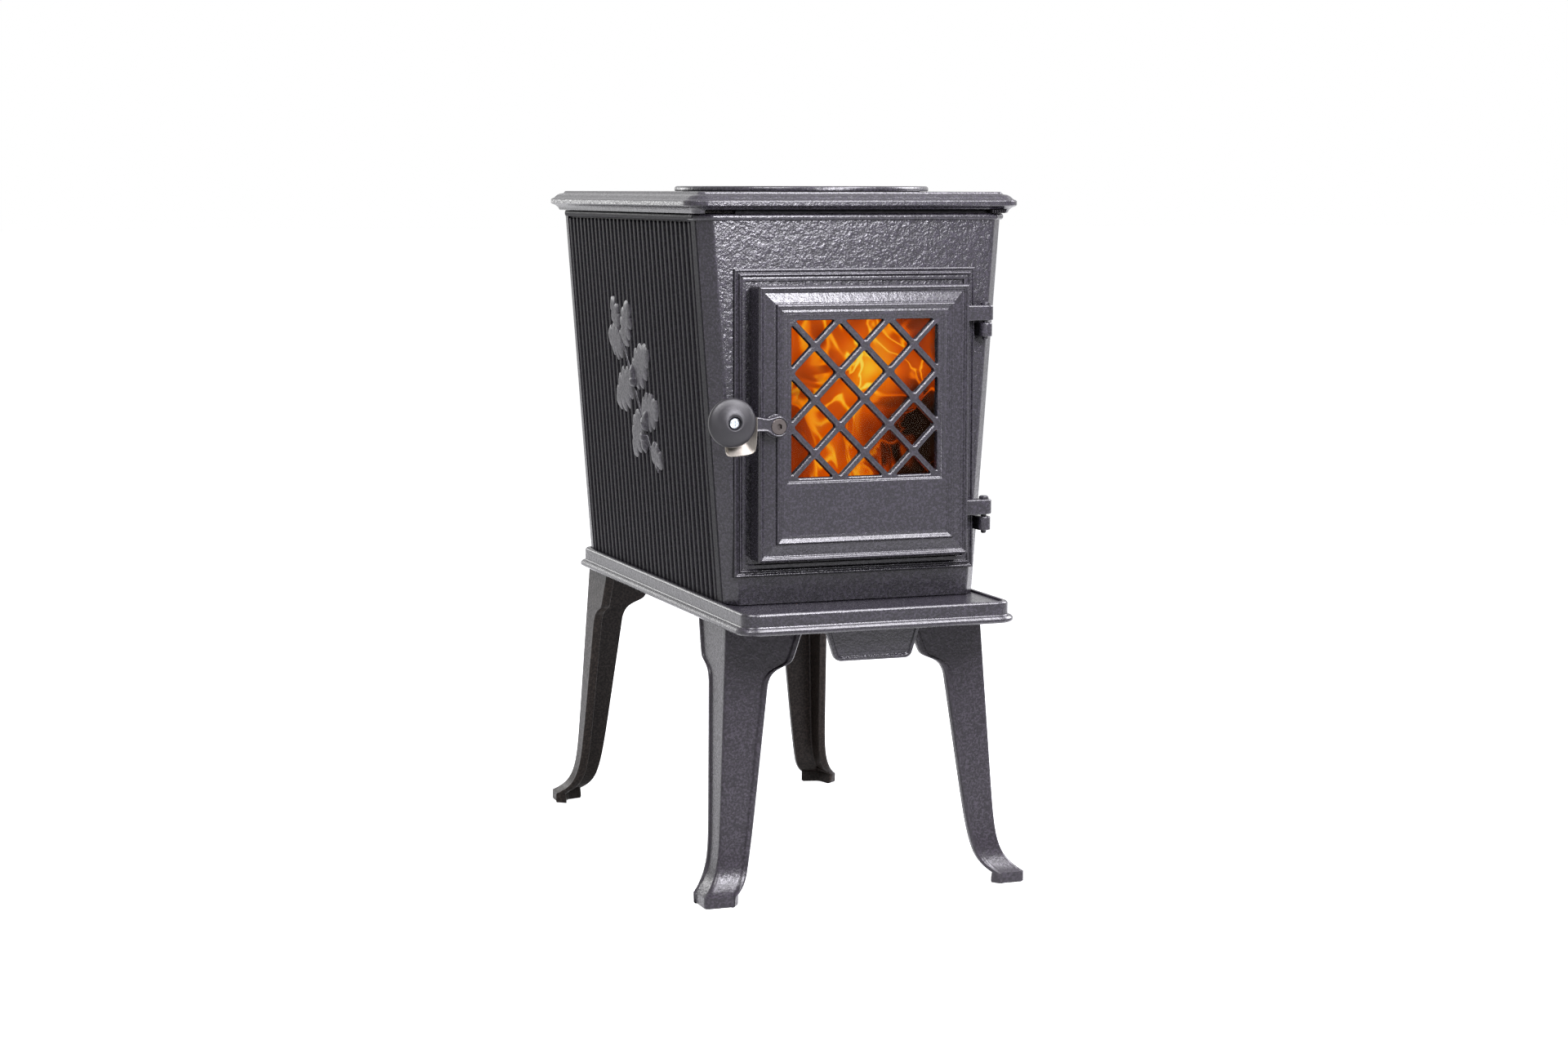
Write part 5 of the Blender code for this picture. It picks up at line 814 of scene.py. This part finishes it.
KNOB_X, KNOB_Z = -0.1333, 0.4352
ARM_FRONT_Y, ARM_BACK_Y = [corner.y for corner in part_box("latch_arm")]
ARM_END, ARM_KNOB_END, PAST_ARM = 0.0094, 0.0086, 0.002
ARM_RIM = ((0.0, 0.0), (0.0004, 0.0008), (0.0011, 0.0012), (0.0018, 0.0009), (0.0022, 0.0003), (0.0026, 0.0003))
SEAT_RADIUS, SCREW_HOLE_RADIUS, KNOB_SCREW_RADIUS = 0.0078, 0.0042, 0.0026
arm_length = math.hypot(KNOB_X - LATCH_X, KNOB_Z - LATCH_Z)
arm_run = Vector((KNOB_X - LATCH_X, KNOB_Z - LATCH_Z)) / arm_length
arm_half = [(ARM_END * math.cos(turn), ARM_END * math.sin(turn)) for turn in
            [math.radians(180 - step * 13) for step in range(10)]]
arm_half += [(0.0098, 0.0060), (0.0140, 0.0060), (0.0190, 0.0066), (0.0420, 0.0068)]
arm_half += [(arm_length + ARM_KNOB_END * math.sin(turn), ARM_KNOB_END * math.cos(turn)) for turn in
             [math.radians(10 + step * 13) for step in range(7)]]
arm_outline = arm_half + [(u, -v) for u, v in reversed(arm_half[1:])]
latch_arm = grow("painted_latch_arm", [
    [(LATCH_X + arm_run.x * u + arm_run.y * v, y, LATCH_Z + arm_run.y * u - arm_run.x * v)
     for u, v in arm_outline]
    for y in (ARM_BACK_Y, ARM_BACK_Y - 0.0006, ARM_FRONT_Y + 0.0012)])
mould(latch_arm, Y, -1, eased(ARM_RIM, 0.0003, 2))
seat = spun("seat", ((ARM_FRONT_Y - PAST_ARM, 0.0), (ARM_FRONT_Y - PAST_ARM, SEAT_RADIUS),
                     (ARM_FRONT_Y + 0.0004, SEAT_RADIUS - 0.0003), (ARM_FRONT_Y + 0.0038, SCREW_HOLE_RADIUS),
                     (ARM_BACK_Y + PAST_ARM, SCREW_HOLE_RADIUS), (ARM_BACK_Y + PAST_ARM, 0.0)),
            (LATCH_X, 0.0, LATCH_Z), Y, 48)
combine(latch_arm, seat, "DIFFERENCE")
bore = spun("bore", ((ARM_FRONT_Y - PAST_ARM, 0.0), (ARM_FRONT_Y - PAST_ARM, KNOB_SCREW_RADIUS),
                     (ARM_BACK_Y + PAST_ARM, KNOB_SCREW_RADIUS), (ARM_BACK_Y + PAST_ARM, 0.0)),
            (KNOB_X, 0.0, KNOB_Z), Y, 32)
combine(latch_arm, bore, "DIFFERENCE")
close(latch_arm, fine_cast_paint, "latch", "painted_iron", "latch_arm", angle=34)
give(dull_black_steel, "latch_screw")
give(dark_steel, "spring_washer", "latch_keeper")


# Knob: turned black plastic, domed, with a hollow for its screw. It stays cool, and the bent steel
# guard behind it keeps the hand off the arm. A bright zinc screw holds both.
black_plastic, tree = new_material("turned_black_plastic")
centred = add_node(tree, "Mapping", {"Vector": object_place(tree), "Location": (-KNOB_X, 0.0, -KNOB_Z)})
# The turning marks are 0.1 mm apart on the real knob and drawn 0.7 mm apart, or none would show.
rings = add_node(tree, "TexWave", {"Vector": centred.outputs[0], "Scale": 450.0, "Distortion": 1.2,
                                   "Detail": 2.0}, wave_type="RINGS", rings_direction="Y")
tangent = add_node(tree, "Tangent", direction_type="RADIAL", axis="Y")
give_surface(tree, Base_Color=linear("#1A191B"), Roughness=0.40, Specular_IOR_Level=0.26, Anisotropic=0.75,
             Tangent=tangent.outputs[0], Normal=bumps(tree, rings.outputs["Fac"], 0.0001, 0.10))

KNOB_BACK_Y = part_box("knob")[1].y
# The knob in section: distance before its back, and radius.
KNOB = ((0.0010, 0.0), (0.0010, 0.0095), (0.0030, 0.0150), (0.0062, 0.0200), (0.0092, 0.0217), (0.0120, 0.0219),
        (0.0142, 0.0202), (0.0170, 0.0162), (0.0192, 0.0112), (0.0202, 0.0074), (0.0198, 0.0060),
        (0.0172, 0.0056), (0.0164, 0.0))
knob = spun("turned_knob", eased([(KNOB_BACK_Y - before, radius) for before, radius in KNOB], 0.0016),
            (KNOB_X, 0.0, KNOB_Z), Y, 72)
shaft = spun("shaft", ((KNOB_BACK_Y + 0.005, 0.0), (KNOB_BACK_Y + 0.005, KNOB_SCREW_RADIUS),
                       (KNOB_BACK_Y - 0.03, KNOB_SCREW_RADIUS), (KNOB_BACK_Y - 0.03, 0.0)),
             (KNOB_X, 0.0, KNOB_Z), Y, 24)
combine(knob, shaft, "DIFFERENCE")
close(knob, black_plastic, "latch", "black_knob", "knob", angle=50)
give(bright_zinc, "knob_screw")

brushed_steel, tree = new_material("brushed_spring_steel")
# The brush lines run along the strip. Real ones are 0.05 mm wide; these are 0.5 mm, so that they show.
stretched = add_node(tree, "Mapping", {"Vector": object_place(tree), "Scale": (2000.0, 300.0, 300.0)})
lines = noise(tree, stretched.outputs[0], 1.0, 2.0)
give_surface(tree, Base_Color=blend(tree, lines, linear("#7A756E"), linear("#98938B")), Metallic=1.0,
             Roughness=0.48, Normal=bumps(tree, lines, 0.0001, 0.4))
# The guard is pressed from sheet: flat behind the knob, then swept forward to a squarish edge.
GUARD_Y, GUARD_SWEEP, GUARD_THICKNESS = -0.2350, 0.0080, 0.0011
GUARD_INNER, GUARD_FLAT = 0.34, 0.55
guard_edge = eased([(0.0244, 0.0040), (0.0243, -0.0080), (0.0236, -0.0190), (0.0226, -0.0268),
                    (0.0160, -0.0288), (0.0060, -0.0296), (-0.0020, -0.0298), (-0.0045, -0.0262)], 0.0040, 4)
guard = begin("pressed_knob_guard", bpy.ops.mesh.primitive_grid_add, x_subdivisions=len(guard_edge) - 1,
              y_subdivisions=10, size=1.0)
bpy.ops.object.mode_set(mode="EDIT")


def on_guard(co):
    """A point of the flat grid, laid on the guard: its place along the edge, and from the middle out."""
    edge_x, edge_z = guard_edge[round((co.x + 0.5) * (len(guard_edge) - 1))]
    out = GUARD_INNER + (1 - GUARD_INNER) * (co.y + 0.5)
    sweep = GUARD_SWEEP * max((out - GUARD_FLAT) / (1 - GUARD_FLAT), 0.0) ** 1.6
    return Vector((KNOB_X + edge_x * out, GUARD_Y - sweep, KNOB_Z + edge_z * out))


place_verts(guard, on_guard)
bpy.ops.object.mode_set(mode="OBJECT")
sheet_metal = guard.modifiers.new("sheet", "SOLIDIFY")
sheet_metal.thickness = GUARD_THICKNESS
sheet_metal.offset = 0.0
bpy.ops.object.modifier_apply(modifier=sheet_metal.name)
bpy.ops.object.mode_set(mode="EDIT")
close(guard, brushed_steel, "latch", "spring_steel", "knob_guard", angle=40)
give(brushed_steel, "glass_clip_")
give(dark_steel, "tie_rod", "flue_screw")
give(bright_zinc, "glass_clip_screw", "tie_rod_nut")


# Seals: braided glass-fibre rope in the back of the door and round the body's top edge, and a flat tape
# behind the glass. Their grey threads are darkened by soot.
rope_fibre, tree = new_material("braided_glass_fibre_rope")
place = object_place(tree)
# The braid repeats every 2 mm.
BRAID = {"Scale": 160.0, "Distortion": 1.0}
one_way = add_node(tree, "TexWave", {"Vector": place, **BRAID}, bands_direction="DIAGONAL")
turned = add_node(tree, "Mapping", {"Vector": place, "Scale": (-1.0, 1.0, 1.0)})
other_way = add_node(tree, "TexWave", {"Vector": turned.outputs[0], **BRAID}, bands_direction="DIAGONAL")
weave = reckon(tree, "MULTIPLY", one_way.outputs["Fac"], other_way.outputs["Fac"])
tone = add_node(tree, "ValToRGB", {"Fac": weave}, stops=((0.0, "#3C3A38"), (0.5, "#6E6B66")))
give_surface(tree, Base_Color=tone.outputs[0], Roughness=0.9, Specular_IOR_Level=0.2,
             Normal=bumps(tree, weave, 0.0006, 0.8))


def make_rope(node, low, high, axis, radius, body):
    """A rope laid in a rectangle across an axis; it rises its radius above the upper corner."""
    piece = slab(node.replace("seal", "rope"), low, high)
    choose(piece, "FACE", facing(axis, 1))
    bpy.ops.mesh.select_all(action="INVERT")
    bpy.ops.mesh.delete(type="FACE")
    bpy.ops.mesh.select_all(action="SELECT")
    bpy.ops.mesh.delete(type="ONLY_FACE")
    bpy.ops.mesh.select_all(action="SELECT")
    bpy.ops.mesh.bevel(offset=0.012, segments=6, affect="VERTICES")
    bpy.ops.object.mode_set(mode="OBJECT")
    bpy.ops.object.convert(target="CURVE")
    piece.data.bevel_depth = radius
    piece.data.bevel_resolution = 3
    bpy.ops.object.convert(target="MESH")
    bpy.ops.object.mode_set(mode="EDIT")
    close(piece, rope_fibre, body, "rope_seal", node)


seal_low, seal_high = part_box("door_seal")
make_rope("door_seal", seal_low + Vector((0.0032, 0.0, 0.0032)), seal_high - Vector((0.0032, 0.0031, 0.0032)),
          Y, 0.0030, "door")
seal_low, seal_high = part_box("top_seal")
make_rope("top_seal", seal_low + Vector((0.0020, 0.0020, 0.0)), seal_high - Vector((0.0020, 0.0020, 0.0019)),
          Z, 0.0018, "stove")

TAPE_WIDTH = 0.0060
glass_tape = slab("glass_tape", *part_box("glass_seal"))
for sign in (-1, 1):
    choose(glass_tape, "FACE", facing(Y, sign))
    bpy.ops.mesh.inset(thickness=TAPE_WIDTH, depth=0.0)
    bpy.ops.mesh.delete(type="FACE")
choose(glass_tape, "EDGE", lambda edge: len(edge.link_faces) == 1)
bpy.ops.mesh.bridge_edge_loops()
close(glass_tape, rope_fibre, "door", "rope_seal", "glass_seal")


# Glass: a pane of clear glass ceramic behind the lattice, faintly amber and held by four spring clips.
# A coating keeps most of the room's reflection away, so its index here is below that of bare glass.
ceramic_glass, tree = new_material("clear_glass_ceramic")
through = add_node(tree, "BsdfTransparent", {"Color": linear("#FFFAF0")})
mirror = add_node(tree, "BsdfGlossy", {"Color": WHITE, "Roughness": 0.03})
share = add_node(tree, "Fresnel", {"IOR": 1.13}).outputs[0]
add_node(tree, "OutputMaterial", {"Surface": mix_shaders(tree, share, through, mirror)})
give(ceramic_glass, "door_glass")


# Firebox: bare cast plates along the walls, a hearth, a baffle over the fire and a bar that keeps the
# logs back. Unpainted iron that has browned and taken soot.
raw_iron, tree = new_material("bare_sooty_cast_iron")
place = object_place(tree)
clouds = noise(tree, place, 22.0, 5.0)
tone = add_node(tree, "ValToRGB", {"Fac": clouds},
                stops=((0.35, "#1C1917"), (0.55, "#3A2E28"), (0.72, "#55402F")))
give_surface(tree, Base_Color=tone.outputs[0], Roughness=0.75,
             Normal=bumps(tree, noise(tree, place, 420.0, 2.0), 0.0008, 0.8))
give(raw_iron, "burn_plate", "hearth_plate", "baffle_plate", "log_retainer")


# Fire: split logs on a bed of embers, charred and glowing in their cracks, with flames over them. The
# flames are thin bent sheets, bright at the left and dying to smoke at the lower right.
charred_wood, tree = new_material("charred_glowing_wood")
place = object_place(tree)
# Char cracks into blocks of about 12 mm. They glow in the cracks and at the right ends of the logs.
blocks = add_node(tree, "TexVoronoi", {"Vector": place, "Scale": 85.0}, feature="DISTANCE_TO_EDGE")
blocks = blocks.outputs["Distance"]
heat = noise(tree, place, 16.0, 3.0)
log_axes = add_node(tree, "SeparateXYZ", {"Vector": place})
hot = reckon(tree, "ADD", stretch(tree, heat, 0.45, 0.62), stretch(tree, log_axes.outputs["X"], 0.060, 0.085))
glowing = reckon(tree, "MULTIPLY", stretch(tree, blocks, 0.0, 0.16, 1.0, 0.25), hot)
ember = add_node(tree, "ValToRGB", {"Fac": glowing},
                 stops=((0.0, "#000000"), (0.3, "#5A0E04"), (0.65, "#D83208"), (1.0, "#FF8A1E")))
bark = add_node(tree, "ValToRGB", {"Fac": heat}, stops=((0.3, "#1A110C"), (0.7, "#4A3020")))
give_surface(tree, Base_Color=bark.outputs[0], Roughness=0.85, Specular_IOR_Level=0.1,
             Normal=bumps(tree, blocks, 0.003, 0.9), Emission_Color=ember.outputs[0], Emission_Strength=1.0)

LOG_CORNERS = 14
LOG_SHARES = (0.0, 0.02, 0.15, 0.3, 0.5, 0.7, 0.85, 0.98, 1.0)
chance = random.Random(7)
for number, (start, end, thick) in enumerate((
    ((-0.085, -0.085, 0.309), (0.090, -0.060, 0.305), 0.030),
    ((-0.080, 0.010, 0.306), (0.085, 0.030, 0.309), 0.031),
    ((-0.070, -0.075, 0.352), (0.082, 0.030, 0.357), 0.026),
    ((0.060, -0.110, 0.350), (0.045, 0.080, 0.345), 0.024),
)):
    start, end = Vector(start), Vector(end)
    run = (end - start).normalized()
    side_step = run.cross(Vector((0.0, 0.0, 1.0))).normalized()
    rise_step = side_step.cross(run)
    bulges = [1.0 + 0.16 * chance.uniform(-1, 1) for _ in range(LOG_CORNERS)]
    sections = []
    for share in LOG_SHARES:
        size = thick * (0.55 if share in (0.0, 1.0) else 1.0)
        centre = start.lerp(end, share)
        sections.append([centre + (side_step * math.cos(2 * math.pi * corner / LOG_CORNERS)
                                   + rise_step * math.sin(2 * math.pi * corner / LOG_CORNERS) * 0.86)
                         * size * bulges[corner] * (1.0 + 0.07 * chance.uniform(-1, 1))
                         for corner in range(LOG_CORNERS)])
    close(grow("split_log_%d" % (number + 1), sections), charred_wood, "stove", "raw_iron", angle=50)

flame, tree = new_material("wood_flame")
place = object_place(tree)
drift = add_node(tree, "TexNoise", {"Vector": place, "Scale": 13.0, "Detail": 1.0}).outputs["Color"]
pushed = reckon(tree, "MULTIPLY", drift, (0.075, 0.075, 0.11), "VectorMath")
swirled = reckon(tree, "ADD", place, pushed, "VectorMath")
tall = add_node(tree, "Mapping", {"Vector": swirled, "Scale": (1.0, 1.0, 0.55)}).outputs[0]
licks = noise(tree, tall, 26.0, 2.5, Roughness=0.5, Distortion=0.8)
# Thin bright curls stand where the noise passes through its middle value.
curl = reckon(tree, "ABSOLUTE", reckon(tree, "SUBTRACT", licks, 0.50))
curl = stretch(tree, curl, 0.0, 0.05, 0.34, 0.0, interpolation_type="SMOOTHSTEP")
axes = add_node(tree, "SeparateXYZ", {"Vector": place})
dying = reckon(tree, "MULTIPLY", stretch(tree, axes.outputs["X"], 0.045, 0.090, 0.0, 0.46),
               stretch(tree, axes.outputs["Z"], 0.47, 0.395, 0.10, 1.0))
warm = stretch(tree, noise(tree, tall, 11.0, 2.0), 0.32, 0.68, 0.10, 0.78)
warm = reckon(tree, "SUBTRACT", reckon(tree, "ADD", warm, curl), dying)
# The hottest part stands right of the middle, in the upper half.
HOT_SPOT = (0.062, -0.12, 0.465)
off_hot_spot = add_node(tree, "VectorMath", {0: place, 1: HOT_SPOT}, operation="DISTANCE").outputs["Value"]
warm = reckon(tree, "ADD", warm, stretch(tree, off_hot_spot, 0.015, 0.060, 0.24, 0.0))
fire = add_node(tree, "ValToRGB", {"Fac": warm},
                stops=((0.0, "#140702"), (0.20, "#451703"), (0.40, "#9A3402"), (0.58, "#DC5A00"),
                       (0.76, "#F98F04"), (0.90, "#FFC22A"), (1.0, "#FFE45C")))
light = add_node(tree, "Emission", {"Color": fire.outputs[0], "Strength": 0.86})
clear = add_node(tree, "BsdfTransparent")
edge_map = add_node(tree, "Attribute", attribute_name="thickness")
solid = stretch(tree, reckon(tree, "ADD", licks, edge_map.outputs["Fac"]), 0.72, 0.95)
add_node(tree, "OutputMaterial", {"Surface": mix_shaders(tree, solid, clear, light)})

for number, (left, right_end, depth, low, high, bow, across_power, up_power, full) in enumerate((
    (-0.099, 0.116, -0.090, 0.290, 0.543, 0.0, 8, 9, 1.0),
    (-0.090, 0.060, -0.105, 0.330, 0.530, 0.012, 3, 2, 0.42),
    (-0.020, 0.100, -0.120, 0.320, 0.500, -0.008, 3, 2, 0.42),
)):
    sheet = begin("flame_%d" % (number + 1), bpy.ops.mesh.primitive_grid_add, x_subdivisions=24,
                  y_subdivisions=24, size=1.0)
    bpy.ops.object.mode_set(mode="EDIT")
    place_verts(sheet, lambda co: Vector((
        left + (right_end - left) * (co.x + 0.5),
        depth - 0.085 * co.x + bow * math.cos(co.x * 5.0)
        + 0.008 * math.sin(co.y * 7.0 + number * 2.0 + co.x * 4.0),
        low + (high - low) * (co.y + 0.5))))
    close(sheet, flame, "stove", "raw_iron", angle=80)
    # Beside the studio's lamps the fire's own light is too weak to show on the iron.
    sheet.visible_diffuse = sheet.visible_glossy = False
    spread = sheet.data.attributes.new("thickness", "FLOAT", "POINT")
    for vert in sheet.data.vertices:
        across = 1.0 - abs(2 * (vert.co.x - left) / (right_end - left) - 1.0) ** across_power
        upward = 1.0 - max((vert.co.z - low) / (high - low), 0.0) ** up_power
        spread.data[vert.index].value = across * upward * full


# Relief: a raised sprig of oak, leaves and acorns on a curved twig, cast on the ribs of each side plate.
# It stands in for the relief of the real stove, in the same place and about as large.
def oak_leaf(name, length, width, lobes):
    """A lobed leaf, thick at the middle, in its own plane: along, across and height."""
    steps = 8 * lobes
    half = []
    for step in range(1, steps):
        share = step / steps
        wave = 0.70 + 0.30 * abs(math.sin(math.pi * lobes * share)) ** 0.7
        half.append((length * share, width * math.sin(math.pi * share ** 0.8) ** 0.6 * wave))
    outline = [(0.0, 0.0)] + half + [(length, 0.0)] + [(u, -v) for u, v in reversed(half)]
    return grow(name, [
        [(u if shrink == 1.0 else length * 0.5 + (u - length * 0.5) * (0.5 + 0.5 * shrink), v * shrink, height)
         for u, v in outline]
        for shrink, height in LEAF_LEVELS])


def oak_acorn(name, length, width):
    """An acorn in its cup, turned about its length."""
    return spun(name, eased(((0.0, 0.0), (0.0008, width * 0.6), (0.0030, width * 1.12), (0.0080, width * 1.16),
                             (0.0088, width), (length * 0.75, width * 0.86), (length * 0.95, width * 0.3),
                             (length, 0.0)), 0.0016, 2), (0.0, 0.0, 0.0), X, 20)


def lay(piece, from_y, from_z, turn, flatten=1.0, lift=0.0):
    """Turns a piece of the sprig in the plane and moves it to its place."""
    place_verts(piece, lambda co: Vector((from_y + co.x * math.cos(turn) - co.y * math.sin(turn),
                                          from_z + co.x * math.sin(turn) + co.y * math.cos(turn),
                                          co.z * flatten + lift)))


relief_cast_paint = cast_paint("satin_paint_on_relief", "#28262B", 2.0, 0.05, 0.36, gloss=0.22)
# Shrink and height of a leaf's sections.
LEAF_LEVELS = ((1.0, -0.0022), (1.0, 0.0006), (0.86, 0.0020), (0.60, 0.0030), (0.30, 0.0033), (0.08, 0.0026))
# Place along Y and Z of the stalk's end, turn in degrees, length, width and, for a leaf, lobes.
LEAVES = ((0.062, 0.487, 118, 0.050, 0.019, 4), (0.062, 0.486, 12, 0.052, 0.019, 4),
          (0.076, 0.502, 62, 0.036, 0.015, 3), (0.040, 0.456, 152, 0.064, 0.022, 4),
          (0.042, 0.456, 336, 0.064, 0.022, 4), (0.020, 0.424, 172, 0.056, 0.020, 4),
          (0.022, 0.424, 306, 0.054, 0.020, 4), (-0.002, 0.392, 200, 0.038, 0.014, 3))
ACORNS = ((0.034, 0.448, 82, 0.024, 0.0085), (0.012, 0.410, 128, 0.023, 0.0082),
          (0.012, 0.408, 280, 0.023, 0.0082))
TWIG = ((-0.022, 0.372), (-0.002, 0.392), (0.018, 0.420), (0.038, 0.452), (0.058, 0.482), (0.078, 0.504))
TWIG_RADIUS = 0.0016


def make_sprig(name, side):
    """The sprig, built flat piece by piece, then laid on the side plate."""
    parts = []
    for from_y, from_z, turn, length, width, lobes in LEAVES:
        parts.append(oak_leaf("leaf", length, width, lobes))
        lay(parts[-1], from_y, from_z, math.radians(turn), flatten=0.62)
    for from_y, from_z, turn, length, width in ACORNS:
        parts.append(oak_acorn("acorn", length, width))
        lay(parts[-1], from_y, from_z, math.radians(turn), flatten=0.62)
    for before, here in zip(TWIG, TWIG[1:]):
        run = Vector(here) - Vector(before)
        twig = eased(((-0.002, 0.0), (-0.001, TWIG_RADIUS), (run.length + 0.001, TWIG_RADIUS),
                      (run.length + 0.002, 0.0)), 0.0008, 2)
        parts.append(spun("twig", twig, (0.0, 0.0, 0.0), X, 12))
        lay(parts[-1], *before, math.atan2(run.y, run.x), lift=0.0004)
    sprig = join(parts)
    sprig.name = name
    bpy.ops.object.mode_set(mode="EDIT")
    away = Vector((side, 0.0, -LEAN)).normalized()
    place_verts(sprig, lambda co: Vector((side * (half_width(co.y) - 0.0008), co.x, co.y)) + away * co.z)
    close(sprig, relief_cast_paint, "stove", "painted_iron", angle=40)


make_sprig("oak_sprig_left", -1)
make_sprig("oak_sprig_right", 1)


# Rear plate, flue collar and hinge pins: cast and turned iron with the shape of the solids, finished in
# the same paint as the other fine castings.
for name, piece in nodes.items():
    if piece.name.startswith(("rear_plate", "flue_collar", "hinge_pin")):
        piece.data.materials.clear()
        piece.data.materials.append(fine_cast_paint)
